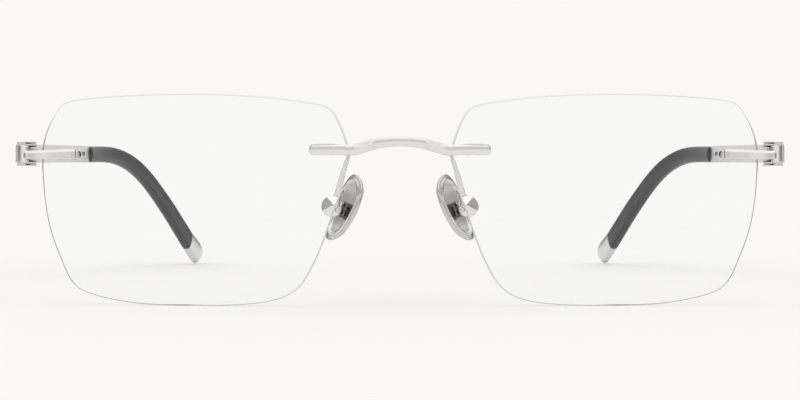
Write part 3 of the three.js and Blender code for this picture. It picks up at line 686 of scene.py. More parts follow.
def lens_mesh():
    count = 360
    line = Curve([(across, 0, up) for across, up in LENS_OUTLINE], closed=True)
    edge = line.at(np.arange(count) / count * line.length)[:, [0, 2]]
    slope = (np.roll(edge, -1, axis=0) - np.roll(edge, 1, axis=0)) / 2
    # outward normals in the plane, for the bevels
    normal = np.stack([-slope[:, 1], slope[:, 0]], 1) / np.hypot(*slope.T)[:, None]
    if np.mean(np.sum(normal * edge, axis=1)) < 0:
        normal = -normal

    def ring(back=False, share=1, inset=0.0, shift=0.0):
        across, up = ((edge - normal * inset) * share).T
        if back:
            y = LENS_THICKNESS + sag(across, up, LENS_RADIUS - LENS_THICKNESS)
        else:
            y = sag(across, up, LENS_RADIUS)
        return np.stack([across, y + shift, up], 1)

    bevel = LENS_BEVEL
    wall_front, wall_back = ring(shift=bevel), ring(back=True, shift=-bevel)
    rings = [ring(share=share) for share in FACE_SHARES]
    rings += [ring(inset=bevel), ring(inset=bevel * 0.35, shift=bevel * 0.22), wall_front]
    rings += [wall_front * (1 - t) + wall_back * t for t in (0.25, 0.5, 0.75)]
    rings += [wall_back, ring(back=True, inset=bevel * 0.35, shift=-bevel * 0.22)]
    rings += [ring(back=True, inset=bevel)]
    rings += [ring(back=True, share=share) for share in reversed(FACE_SHARES)]
    to_lens = LENS_PLACE.inverted()
    holes = [
        moved(rod(0.7, -1, 3.4, 40, at=(x, 0, 0)), to_lens @ mount)
        for mount in (NASAL, TEMPORAL)
        for x in POST_X
    ]
    mesh = combined(skin(rings), cut=holes)
    mesh.transform(LENS_PLACE)
    return mesh


def mark_rim(mesh):
    """The ground edge, its bevels and the hole walls take the second material."""
    to_lens = LENS_PLACE.inverted().to_3x3()
    for face in mesh.polygons:
        normal = face.normal.copy()
        normal.x *= -1 if face.center.x < 0 else 1
        if abs((to_lens @ normal).y) < 0.93 and face.area < 4e-7:
            face.material_index = 1


# ---------------------------------------------------------------- clamp hardware
# In the frame of a mount, where the back of the lens is near y 2.
PLATE_LENGTH, PLATE_HEIGHT = 5, 2
# y, inset of the outline
PLATE_PROFILE = (
    (2.26, 0.1), (2.29, 0.03), (2.36, 0.0), (2.74, 0.0), (2.82, 0.04), (2.86, 0.12),
)
NUT_RADIUS = 0.75  # to the corners
# y, share of the outline
NUT_PROFILE = ((2.89, 0.93), (2.95, 1.0), (3.36, 1.0), (3.44, 0.9))
# radius, y
BUSHING_PROFILE = (
    (0.46, 0.03), (0.65, 0.03), (0.65, 2.08), (0.82, 2.08),
    (0.85, 2.11), (0.85, 2.2), (0.82, 2.23), (0.46, 2.23),
)
POST_RADIUS, POST_START, POST_END = 0.4, -0.6, 3.55
THREAD_START, THREAD_PITCH, THREAD_DEPTH = 2.45, 0.125, 0.05


def capsule_outline(length, height, steps=14):
    radius = height / 2
    angles = np.linspace(-math.pi / 2, math.pi / 2, steps)
    x = length / 2 - radius + radius * np.cos(angles)
    end = np.stack([x, radius * np.sin(angles)], 1)
    return np.vstack([end, -end])


def upright_ring(outline, y):
    """A ring at one y from an outline of (x, z)."""
    return np.stack([outline[:, 0], np.full(len(outline), y), outline[:, 1]], 1)


def plate_mesh():
    outline = capsule_outline(PLATE_LENGTH, PLATE_HEIGHT)
    halves = np.array([PLATE_LENGTH / 2, PLATE_HEIGHT / 2])
    rings = [upright_ring(outline * (1 - inset / halves), y) for y, inset in PLATE_PROFILE]
    return combined(skin(rings), cut=[rod(0.48, 1.5, 3.6, 32, at=(x, 0, 0)) for x in POST_X])


def nut_mesh():
    """Hex nut with chamfered corners and a turned bore."""
    angles = np.arange(6) / 6 * 2 * math.pi
    hexagon = np.stack([NUT_RADIUS * np.cos(angles), NUT_RADIUS * np.sin(angles)], 1)
    hexagon = rounded_polygon(hexagon, 0.05, 2)
    rings = [upright_ring(hexagon * share, y) for y, share in NUT_PROFILE]
    return combined(skin(rings), cut=[rod(0.44, 2.0, 4.0, 32)])


def threaded_posts(mount):
    """The two posts of a mount, each with a fine thread on its rear end and a coned tip."""
    profile = [(POST_RADIUS, POST_START), (POST_RADIUS, 2.4)]
    y = THREAD_START
    while y < POST_END - 0.12:
        profile += [(POST_RADIUS, y), (POST_RADIUS - THREAD_DEPTH, y + 0.06)]
        y += THREAD_PITCH
    profile += [(POST_RADIUS - 0.02, POST_END - 0.1), (POST_RADIUS - 0.12, POST_END)]
    return [moved(turned(profile, 32, at=(x, 0, 0)), mount) for x in POST_X]


# ---------------------------------------------------------------- bridge
BAR_GAP = 0.06  # between the lens and the bars in front of it
BRIDGE_DEPTH, BRIDGE_HEIGHT = 1.2, 1.9
BRIDGE_END_RADIUS = 0.62
# The arch from the left lens to the middle: x, y, z
BRIDGE_ARCH = [
    (8.6, -0.36, 27.79), (7.4, -0.66, 28.01), (6.2, -1.02, 28.38),
    (4.2, -1.62, 28.94), (2.1, -2.02, 29.23), (0, -2.15, 29.32),
]
# Back (-1) to front (1), and up: a bevel on top and two bands that lean from a fine crease.
BRIDGE_SECTION = [
    (-1, 0.86), (-0.8, 1), (0.1, 1), (0.77, 0.64), (0.97, 0.07), (0.93, 0.0),
    (0.98, -0.07), (0.5, -0.96), (0.2, -1), (-0.8, -1), (-1, -0.86),
]


def bar_centre(mount, x, depth):
    """A point on the centre line of a bar that lies along a mount."""
    return tuple(mount @ Vector((x, -(BAR_GAP + depth / 2), 0)))


def bridge_section(height, depth):
    points = [(-front * depth / 2, up * height / 2) for front, up in BRIDGE_SECTION]
    return rounded_polygon(points, 0.05)


def bridge_mesh():
    half = [bar_centre(NASAL, x, BRIDGE_DEPTH) for x in (2.98, 0, -3.0)] + BRIDGE_ARCH
    line = Curve(half + [(-x, y, z) for x, y, z in reversed(half[:-1])])
    radius, length = BRIDGE_END_RADIUS, line.length
    end = round_steps(radius, 0.0, 7)
    middle = np.linspace(radius + 0.1, length - radius - 0.1, 150)
    stations = np.concatenate([end, middle, length - end[::-1]])
    centres = line.at(stations)
    inset = round_inset(radius, np.minimum(stations, length - stations))
    # a little lower in the middle
    share = 1 - 0.07 * np.clip(1 - np.abs(centres[:, 0]) / 8, 0, 1)
    height = BRIDGE_HEIGHT * share - 1.7 * inset
    depth = BRIDGE_DEPTH - 1.2 * inset
    bar = sweep(centres, line.along(stations), height, depth, bridge_section)
    mirrored = Matrix.Diagonal((-1, 1, 1, 1)) @ NASAL
    return combined(bar, add=threaded_posts(NASAL) + threaded_posts(mirrored))


# ---------------------------------------------------------------- endpiece and hinge
HINGE = (67.37, 12.0, 27.17)  # centre of the upright hinge pin
PIN_X, PIN_Y, HINGE_Z = HINGE
PIN_HOLE = rod(0.47, -4, 4, 36, "z", HINGE)
ARM_DEPTH = 1.1
ARM_HEIGHT_NASAL, ARM_HEIGHT_HINGE = 1.86, 1.5
ARM_NASAL_RADIUS, ARM_HINGE_RADIUS = 0.8, 0.3
# Back (-1) to front (1), and up
ARM_SECTION = [(-1, 1), (0.5, 1), (1, 0.46), (1, -0.88), (0.84, -1), (-1, -1)]
# The bend from behind the arm round into the cheek: x, y, z
BEND_LINE = [
    (66.5, 4.5, 27.12), (67.0, 4.64, 27.13), (67.5, 4.79, 27.15),
    (67.95, 4.98, 27.17), (68.3, 5.28, 27.17), (68.53, 5.8, 27.17),
    (68.62, 6.6, 27.17), (68.63, 8.2, 27.17), (68.63, 11.0, 27.17),
]
# Heights above and below the hinge centre
LEAF_NEAR, LEAF_FAR, LEAF_GROOVE = 1.5, 2.2, 1.9
LEAF_RADIUS = 1.0
WASHER_Z = 1.38
# radius, z from the hinge centre
SCREW_PROFILE = (
    (0.36, -2.22), (0.42, -2.14), (0.42, 1.9), (0.62, 1.9), (0.68, 1.96), (0.68, 2.14),
    (0.62, 2.19),
)
# radius, z from the washer centre
WASHER_PROFILE = (
    (0.5, -0.08), (0.93, -0.08), (0.96, -0.05), (0.96, 0.05), (0.93, 0.08), (0.5, 0.08),
)


def arm_section(height, depth):
    points = [(depth * front / 2, height * up / 2) for front, up in ARM_SECTION]
    return rounded_polygon(points, 0.07)


def front_arm():
    """A bar with a bevelled top that tapers towards the hinge and ends proud of the bend."""
    start = np.array(bar_centre(TEMPORAL, -2.5, ARM_DEPTH))
    flat_end = np.array(bar_centre(TEMPORAL, 6.2, ARM_DEPTH))
    line = Curve(
        [start, (start + flat_end) / 2, flat_end, (66.6, 4.34, 26.97), (67.12, 4.56, 27.0)]
    )
    nearest = np.argmin(np.linalg.norm(line.dense - flat_end, axis=1))
    flat_length = float(line.reached[nearest])
    nasal, hinge, length = ARM_NASAL_RADIUS, ARM_HINGE_RADIUS, line.length
    stations = np.concatenate([
        round_steps(nasal, 0.12, 10),
        np.linspace(nasal + 0.15, length - hinge - 0.05, 70),
        length - round_steps(hinge, 0.1, 7)[::-1],
    ])
    near = round_inset(nasal, stations)
    far = round_inset(hinge, length - stations)
    taper = (ARM_HEIGHT_HINGE - ARM_HEIGHT_NASAL) * np.clip(stations / flat_length, 0, 1)
    full = ARM_HEIGHT_NASAL + taper
    centres, tangents = line.at(stations), line.along(stations)
    centres[:, 2] += (full - ARM_HEIGHT_HINGE) / 2
    back = np.column_stack([-tangents[:, 1], tangents[:, 0], np.zeros(len(stations))])
    # the front curves back towards the lens at the nasal end
    centres += back * (near * 0.5)[:, None]
    height = full - 0.55 * near - 1.2 * far
    depth = ARM_DEPTH - near * 0.98 - 0.6 * far
    return sweep(centres, tangents, height, depth, arm_section)


def cheek_bend():
    """The tall strip behind the arm, which bends round to run back."""
    line = Curve(BEND_LINE)
    length = line.length
    stations = np.concatenate(
        [[0.0, 0.06, 0.18], np.linspace(0.35, length - 0.09, 80), [length - 0.03, length]]
    )
    inset = np.zeros(len(stations))
    inset[:3] = 0.16, 0.07, 0.02
    inset[-1] = 0.05
    height = np.interp(stations, [0, 0.5, 1.6, 3.2], [2.86, 3.02, 3.16, 3.2]) - 2 * inset
    depth = 0.86 - 2 * inset + 0.09 * smooth(stations / 3.5)
    return sweep(line.at(stations), line.along(stations), height, depth, rounded_rect(0.14, 4))


def hinge_leaf(sign):
    """A leaf above (1) or below (-1), rounded about the pin and straight along the cheek."""
    angles = np.linspace(rad(-5), rad(180), 26)
    outline = np.array([
        (68.95, 6.5), (68.95, 11.0), (PIN_X + LEAF_RADIUS, 11.0),
        *((PIN_X + LEAF_RADIUS * math.cos(a), PIN_Y + LEAF_RADIUS * math.sin(a)) for a in angles),
        (PIN_X - LEAF_RADIUS, 10.6), (66.4, 6.75), (66.55, 6.5), (67.2, 6.5), (67.45, 6.5),
    ])
    low, high = sorted((HINGE_Z + sign * LEAF_NEAR, HINGE_Z + sign * LEAF_FAR))
    # a fine groove runs round the rim, save on the side by the cheek
    groove = HINGE_Z + sign * LEAF_GROOVE
    levels = (
        (low, 0.985), (low + 0.05, 1.0), (groove - 0.12, 1.0), (groove, 0.9),
        (groove + 0.12, 1.0), (high - 0.05, 1.0), (high, 0.985),
    )
    middle = np.array([67.75, 9.6])
    rings = []
    for z, share in levels:
        shares = np.where((outline[:, 0] < 67.4) | (share > 0.95), share, 1.0)[:, None]
        points = middle + (outline - middle) * shares
        rings.append(np.column_stack([points, np.full(len(outline), z)]))
    return skin(rings)


def endpiece_mesh():
    web = block((68.2, 68.93), (6.75, 10.98), about(HINGE_Z, 2.12))
    head_seat = rod(0.71, 1.87, 4, 40, "z", HINGE)
    return combined(
        front_arm(),
        add=[cheek_bend(), *threaded_posts(TEMPORAL), hinge_leaf(-1), hinge_leaf(1), web],
        cut=[PIN_HOLE, head_seat],
    )


def hinge_screw_mesh():
    slot = block((-1, 1), (-0.1, 0.1), (2.08, 2.6))
    return combined(turned(SCREW_PROFILE, 44, "z"), cut=[slot])


# ---------------------------------------------------------------- temple
# Centre line of the temple: x, y, z
TEMPLE = Curve([
    (68.4, 11.1, 27.17), (68.38, 16, 27.17), (68.25, 30, 27.18), (67.95, 50, 27.18),
    (67.6, 66, 27.14), (67.4, 76, 27.1), (67.12, 84, 27.08), (66.2, 92, 27.08),
    (65.1, 97.6, 26.83), (63.9, 102, 26.22), (62.5, 106, 25.15), (61.0, 110, 23.5),
    (59.3, 114.6, 20.9), (57.4, 119.9, 17.3), (55.5, 125, 13.4), (53.7, 130, 9.35),
    (52.12, 134.3, 5.78), (50.75, 138, 2.56), (49.97, 140.5, 0.26),
])
SLEEVE_Y = 77
# Lengths along the temple
BAR_STEP = TEMPLE.where(13.3)
BAR_END, SLEEVE_START = TEMPLE.where(SLEEVE_Y - 0.1), TEMPLE.where(SLEEVE_Y)
CAP_START, CORE_END = TEMPLE.where(134), TEMPLE.where(136)
BAR_DEPTH = 0.9
KNUCKLE_PROFILE = ((0.95, -1.26), (1.0, -1.21), (1.0, 1.21), (0.95, 1.26))  # radius, z
MARK_X, MARK_Y, MARK_BAR_Z = TEMPLE.at(TEMPLE.where(69.6))
MARK_Z = MARK_BAR_Z + 0.08
SLEEVE_HEIGHT, SLEEVE_WIDTH = 3.44, 2.25  # at the front end
SLEEVE_END_RADIUS = 0.38
SLEEVE_SECTION = superellipse(64, 2.9)
# length past the seam, height, width, lean, rise
CAP_STATIONS = [
    (0.06, 4.4, 2.6, 0.28, 0), (1.6, 4.75, 2.55, 0.15, 0.16), (3.3, 5.05, 2.45, 0, 0.31),
    (4.9, 5.25, 2.35, -0.15, 0.4), (6.1, 5.2, 2.15, -0.28, 0.38), (7, 4.8, 1.85, -0.36, 0.25),
    (7.6, 4, 1.45, -0.42, 0.08), (7.9, 3, 1, -0.45, -0.02), (8, 1.9, 0.6, -0.45, -0.06),
]
CAP_NOSE = [(8.03, 1.3, 0.42, -0.45, -0.06), (8.05, 0.7, 0.22, -0.45, -0.06)]
SEAM_EASE = 0.08  # how much smaller the sleeve and cap are where they meet


def temple_core(start, end, height, depth):
    """The bar inside the sleeve, or the bore for it."""
    stations = np.linspace(start, end, 60)
    section = rounded_rect(0.15)
    return sweep(TEMPLE.at(stations), TEMPLE.along(stations), height, depth, section)


CORE_BORE = temple_core(TEMPLE.where(76.4), TEMPLE.where(136.15), 2.16, 0.98)


def temple_bar():
    """The visible bar, with a low front end and two fine steps up to full height."""
    step = BAR_STEP
    stations = np.concatenate([
        [0.0, 0.04], np.linspace(0.2, step - 0.1, 8), [step, step + 0.03, step + 0.07, step + 0.12],
        np.linspace(step + 0.4, BAR_END - 0.2, 76), [BAR_END - 0.06, BAR_END],
    ])
    tangents = TEMPLE.along(stations)
    tangents[:2] = (0, 1, 0)
    inset = np.zeros(len(stations))
    inset[[0, -1]] = 0.05
    growth = 0.18 * np.clip((stations - step) / (BAR_END - step), 0, 1)
    height = np.where(stations <= step, 2.84, 3.4 + growth)
    height[(stations > step) & (stations < step + 0.05)] -= 0.2
    height[(stations > step + 0.05) & (stations < step + 0.1)] -= 0.06
    height -= 2 * inset
    depth = BAR_DEPTH - 2 * inset
    return sweep(TEMPLE.at(stations), tangents, height, depth, rounded_rect(0.14))


def oval_mark():
    """The oval sunk in the inner face of the bar."""
    outline = capsule_outline(3.6, 0.8, 16)
    rings = [
        np.column_stack([np.full(len(outline), x), outline * share])
        for x, share in ((-0.6, 1.04), (0.0, 1.04), (0.09, 0.92))
    ]
    return shifted(skin(rings), MARK_X - BAR_DEPTH / 2, MARK_Y, MARK_Z)


def temple_mesh():
    core = temple_core(BAR_END - 0.02, CORE_END, 2.0, 0.8)
    knuckle = turned(KNUCKLE_PROFILE, 56, "z", HINGE)
    web = block((PIN_X, 68.3), (12.2, 12.95), about(HINGE_Z, 1.24))
    washer_rooms = [
        rod(1.02, *about(z, 0.11), 56, "z", HINGE) for z in (-WASHER_Z, WASHER_Z)
    ]
    return combined(
        temple_bar(), add=[core, knuckle, web], cut=[PIN_HOLE, *washer_rooms, oval_mark()]
    )


def mark_recess(mesh):
    """The oval mark's floor and wall take the second material."""
    for face in mesh.polygons:
        point = in_mm(face.center)
        past = point.y - MARK_Y
        if abs(past) < 1.9 and abs(point.z - MARK_Z) < 0.45:
            # the inner face leans inwards, 0.02 a mm
            if MARK_X - 0.02 * past - 0.425 < point.x < MARK_X - 0.2:
                face.material_index = 1


def sleeve_mesh():
    """The plastic sleeve, which grows towards the cap; its front edge is rounded over."""
    radius = SLEEVE_END_RADIUS
    rest = np.linspace(SLEEVE_START, CAP_START, 150)
    past_round = rest > SLEEVE_START + radius
    front = SLEEVE_START + round_steps(radius, 0.0, 8)[:-1]
    stations = np.concatenate([front, rest[past_round]])
    run = (rest - SLEEVE_START) / (CAP_START - SLEEVE_START)
    run = np.concatenate([np.zeros(len(front)), run[past_round]])
    inset = 1.8 * round_inset(radius, stations - SLEEVE_START)
    height = SLEEVE_HEIGHT + 0.95 * run**1.6 - inset
    width = SLEEVE_WIDTH + 0.35 * run - inset
    height[-1] -= SEAM_EASE
    width[-1] -= SEAM_EASE
    lean = np.where(run > 0.97, 0.28 * smooth((run - 0.97) / 0.03), 0.0)
    centres, tangents = TEMPLE.at(stations), TEMPLE.along(stations)
    body = sweep(centres, tangents, height, width, SLEEVE_SECTION, lean)
    return combined(body, cut=[CORE_BORE])


def cap_mesh():
    profile, reached = catmull_rom(CAP_STATIONS, 1200)
    shares = np.concatenate([np.linspace(0, 0.86, 40, endpoint=False), np.linspace(0.86, 1, 26)])
    stations = np.array(
        [np.interp(shares * reached[-1], reached, column) for column in profile.T]
    ).T
    stations[0, 1:3] -= SEAM_EASE
    stations = np.vstack([stations, CAP_NOSE])
    centres, tangents = [], []
    for offset, rise in stations[:, [0, 4]]:
        distance = CAP_START + offset
        along = TEMPLE.along(min(distance, TEMPLE.length - 0.2))
        upright = np.array((0, 0, 1.0)) - along * along[2]
        upright /= np.linalg.norm(upright)
        # beyond its end the centre line runs straight on
        beyond = along * max(0.0, distance - TEMPLE.length)
        centres.append(TEMPLE.at(min(distance, TEMPLE.length)) + beyond + upright * rise)
        tangents.append(along)
    height, width, lean = stations[:, 1:4].T
    body = sweep(centres, tangents, height, width, SLEEVE_SECTION, lean)
    return combined(body, cut=[CORE_BORE])


# ---------------------------------------------------------------- pad arm and box
BOX_X, BOX_Z, BOX_RADIUS = 12.3, 17.68, 1.95
BOX_FRONT, BOX_BACK = 7.9, 9.9
BOX_AXIS = (BOX_X, 0, BOX_Z)
# The front of the box is five planes that meet at an apex off centre
BOX_APEX = np.array([BOX_X - 0.25, BOX_FRONT - 0.9, BOX_Z + 0.35])
# Angle of each corner from +x towards +z, and how far back it sits; the last is foremost
BOX_CORNERS = ((62, 0.0), (128, 0.16), (205, 0.3), (262, 0.04), (338, -0.12))
PAD_SCREW_X, PAD_SCREW_Z = 11.15, 16.95
PAD_SCREW_AXIS = (PAD_SCREW_X, 0, PAD_SCREW_Z)
# radius, y
PAD_SCREW_PROFILE = (
    (0.3, 9.7), (0.36, 9.64), (0.36, 7.82), (0.54, 7.82), (0.54, 7.66), (0.46, 7.58),
    (0.3, 7.56),
)
# From the bridge back and down to the box: x, y, z
PAD_ARM_LINE = [
    (11.4, 3.25, 27.55), (10.5, 3.4, 27.62), (9.6, 3.7, 27.4), (9.27, 4.45, 26.6),
    (9.75, 5.6, 25.5), (10.3, 6.8, 24.0), (10.92, 8.15, 22.1), (11.38, 8.75, 20.5),
    (11.75, 8.9, 19.2),
]
PAD_ARM_SIZE = 0.74
CLEARANCE = 0.03


def pad_arm_mesh():
    """A round wire, thicker at both ends, trimmed to the pad box and the clamp plate."""
    line = Curve(PAD_ARM_LINE)
    stations = np.linspace(0, line.length, 110)
    box_flare = 0.2 * np.exp(-(((stations - line.length) / 0.45) ** 2))
    size = PAD_ARM_SIZE + box_flare + 0.12 * np.exp(-((stations / 0.7) ** 2))
    centres, tangents = line.at(stations), line.along(stations)
    wire = sweep(centres, tangents, size, size, superellipse(28, 2), up=(1, 0, 0.2))
    box_room = rod(BOX_RADIUS + CLEARANCE, 0, 20, 96, at=BOX_AXIS)
    plate_room = block(
        about(0, PLATE_LENGTH / 2 + CLEARANCE),
        (PLATE_PROFILE[0][0] - CLEARANCE, PLATE_PROFILE[-1][0] + CLEARANCE),
        about(0, PLATE_HEIGHT / 2 + CLEARANCE),
    )
    return keep_largest(combined(wire, cut=[box_room, moved(plate_room, NASAL)]))


def box_front_y(x, z):
    """The y of the box's faceted front."""
    corners = [
        np.array([
            BOX_X + BOX_RADIUS * math.cos(rad(angle)),
            BOX_FRONT + low,
            BOX_Z + BOX_RADIUS * math.sin(rad(angle)),
        ])
        for angle, low in BOX_CORNERS
    ]
    y = np.full(len(x), -1e9)
    for i, corner in enumerate(corners):
        normal = np.cross(corner - BOX_APEX, corners[(i + 1) % len(corners)] - BOX_APEX)
        rise = (normal[0] * (x - BOX_APEX[0]) + normal[2] * (z - BOX_APEX[2])) / normal[1]
        y = np.maximum(y, BOX_APEX[1] - rise)
    return y


def pad_box_mesh():
    """Round box with a shallow faceted front, a slot for the pad's tongue and a screw hole."""
    count = 96
    angles = np.arange(count) / count * 2 * math.pi
    cos, sin = np.cos(angles), np.sin(angles)
    rings = [
        np.stack([BOX_X + radius * cos, np.full(count, y), BOX_Z + radius * sin], 1)
        for radius, y in (
            (BOX_RADIUS - 0.08, BOX_BACK),
            (BOX_RADIUS - 0.02, BOX_BACK - 0.03),
            (BOX_RADIUS, BOX_BACK - 0.09),
        )
    ]
    edge_x, edge_z = BOX_X + BOX_RADIUS * cos, BOX_Z + BOX_RADIUS * sin
    edge_y = np.minimum(box_front_y(edge_x, edge_z), BOX_BACK - 0.4)
    rings.append(np.stack([edge_x, edge_y + 0.06, edge_z], 1))
    for share in np.concatenate([[0.985], np.linspace(0.96, 0.02, 34)]):
        x = BOX_APEX[0] + (edge_x - BOX_APEX[0]) * share
        z = BOX_APEX[2] + (edge_z - BOX_APEX[2]) * share
        rings.append(np.stack([x, box_front_y(x, z), z], 1))
    slot = block((BOX_X - 5, 12.45), (8.48, 9.32), about(BOX_Z, 5))
    hole = rod(0.4, 6, 9.75, 36, at=PAD_SCREW_AXIS)
    head_seat = rod(0.58, 6, 7.84, 40, at=PAD_SCREW_AXIS)
    return combined(skin(rings), cut=[slot, hole, head_seat])


def mark_facet(mesh):
    """The front facet away from the nose takes darker metal, painted shade."""
    for face in mesh.polygons:
        normal = face.normal
        x = normal.x * (1 if face.center.x > 0 else -1)
        turn = math.degrees(math.atan2(normal.z, x)) % 360
        sloping = normal.y < -0.3 and math.hypot(normal.x, normal.z) > 0.2
        if sloping and (turn > 335 or turn < 62):
            face.material_index = 1


def pad_screw_mesh():
    body = turned(PAD_SCREW_PROFILE, 44, at=PAD_SCREW_AXIS)
    slot_place = Matrix.Translation((PAD_SCREW_X, 7.58, PAD_SCREW_Z)) @ Matrix.Rotation(0.6, 4, "Y")
    slot = block((-0.7, 0.7), (-0.1, 0.1), (-0.08, 0.08))
    return combined(body, cut=[moved(slot, slot_place)])


# ---------------------------------------------------------------- nose pad
PAD_CENTRE = (9.9, 10.2, 17.15)
PAD_HALF_WIDTH, PAD_HALF_HEIGHT = 3.85, 6.45
# Rings of the hollow: share of the outline, depth at mid height
PAD_HOLLOW = (
    (0.1, 0.1), (0.25, 0.1), (0.4, 0.1), (0.55, 0.1), (0.66, 0.1), (0.72, 0.1), (0.76, 0.14),
)
# Rings over the lip, round the edge and across the side towards the nose: share, y
PAD_RINGS = (
    (0.785, 0.6), (0.81, 0.69), (0.84, 0.71), (0.87, 0.69), (0.89, 0.62), (0.9, 0.54),
    (0.915, 0.5), (0.94, 0.5), (0.965, 0.46), (0.99, 0.34), (1.0, 0.18), (1.0, 0.02),
    (0.985, -0.16), (0.94, -0.38), (0.86, -0.55), (0.74, -0.66), (0.6, -0.72), (0.48, -0.75),
    (0.3, -0.75), (0.1, -0.75),
)
# The boss in the hollow, in the pad's frame
BOSS_X, BOSS_Z, BOSS_RADIUS = (-0.2, 1.75), (-1.85, 1.15), 0.95
BOSS_LEVELS = ((-0.05, 1.0), (1.125, 1.0), (1.22, 0.95), (1.25, 0.86))  # y, share
# radius, y
TONGUE_PROFILE = ((0.72, 8.55), (0.76, 8.6), (0.76, 9.2), (0.72, 9.25))


def make_pad_place():
    """The pad's frame: y away from the nose and forwards, z along the pad."""
    up = Vector((-0.39, 0.08, 0.92)).normalized()
    nosewards = Vector((-0.829, 0.559, 0))
    nosewards.z = -(up.x * nosewards.x + up.y * nosewards.y) / up.z
    nosewards.normalize()
    frame = Matrix((up.cross(nosewards), -nosewards, up)).transposed().to_4x4()
    frame.translation = Vector(PAD_CENTRE)
    return frame


PAD_PLACE = make_pad_place()


def pad_body():
    """The egg-shaped pad, whose ends bend away from the nose."""
    count = 128
    angles = np.arange(count) / count * 2 * math.pi
    cos, sin = np.cos(angles), np.sin(angles)

    def ring(share, y):
        z = PAD_HALF_HEIGHT * share * sin
        x = PAD_HALF_WIDTH * share * cos * (1 + 0.13 * sin)
        bend = np.maximum(0, np.abs(z) - 3.4) ** 2 / 14
        return np.stack([x, y + bend, z], 1)

    rings = []
    for share, y in PAD_HOLLOW:
        # the hollow rises towards both ends
        hollow = ring(share, 0)
        hollow[:, 1] += np.minimum(y + 0.026 * hollow[:, 2] ** 2, 0.56)
        rings.append(hollow)
    return skin(rings + [ring(share, y) for share, y in PAD_RINGS])


def pad_boss():
    (left, right), (low, high) = BOSS_X, BOSS_Z
    corners = [(left, low), (right, low), (right, high), (left, high)]
    outline = rounded_polygon(corners, BOSS_RADIUS, 10)
    middle = np.array([(left + right) / 2, (low + high) / 2])
    return skin(
        [upright_ring(middle + (outline - middle) * share, y) for y, share in BOSS_LEVELS]
    )


def nose_pad_mesh():
    x, z = PAD_SCREW_X, PAD_SCREW_Z
    # room for the box as the pad swings about its screw
    room = rod(BOX_RADIUS + 0.08, 6.8, 10.02, 96, at=BOX_AXIS)
    there, back = Matrix.Translation((x, 0, z)), Matrix.Translation((-x, 0, -z))
    swings = [there @ Matrix.Rotation(rad(turn), 4, "Y") @ back for turn in range(-14, 15, 4)]
    body = combined(
        moved(pad_body(), PAD_PLACE),
        add=[moved(pad_boss(), PAD_PLACE)],
        cut=[moved(room, swing) for swing in swings],
    )
    tongue_end = turned(TONGUE_PROFILE, 44, at=PAD_SCREW_AXIS)
    tongue = block((9.55, x), (8.57, 9.23), about(z, 0.72))
    hole = rod(0.41, 6, 12, 36, at=PAD_SCREW_AXIS)
    return keep_largest(combined(body, add=[tongue, tongue_end], cut=[hole]))


def mark_pad(mesh):
    """Painted shade: the boss and tongue in the hollow take dark metal, the thick edge darker
    metal.
    """
    to_pad = PAD_PLACE.inverted()
    for face in mesh.polygons:
        point = to_pad @ in_mm(face.center)
        reach = math.hypot(point.x / PAD_HALF_WIDTH, point.z / PAD_HALF_HEIGHT)
        proud = point.y > 0.3 or (face.area > 5e-7 and point.y > 0.15)
        by_boss = abs(point.x - 0.75) < 1.6 and abs(point.z + 0.35) < 1.75
        if proud and by_boss and reach < 0.76:
            face.material_index = 1
        elif reach > 0.86:
            face.material_index = 2


# ---------------------------------------------------------------- build
METAL, STEEL, PAD_METAL = "frame_metal", "hardware_steel", "pad_metal"
# Each mount's name and frame, and the names of its posts in the order of POST_X
MOUNTS = (
    ("bridge", NASAL, ("inner", "outer")),
    ("endpiece", TEMPORAL, ("outer", "inner")),
)


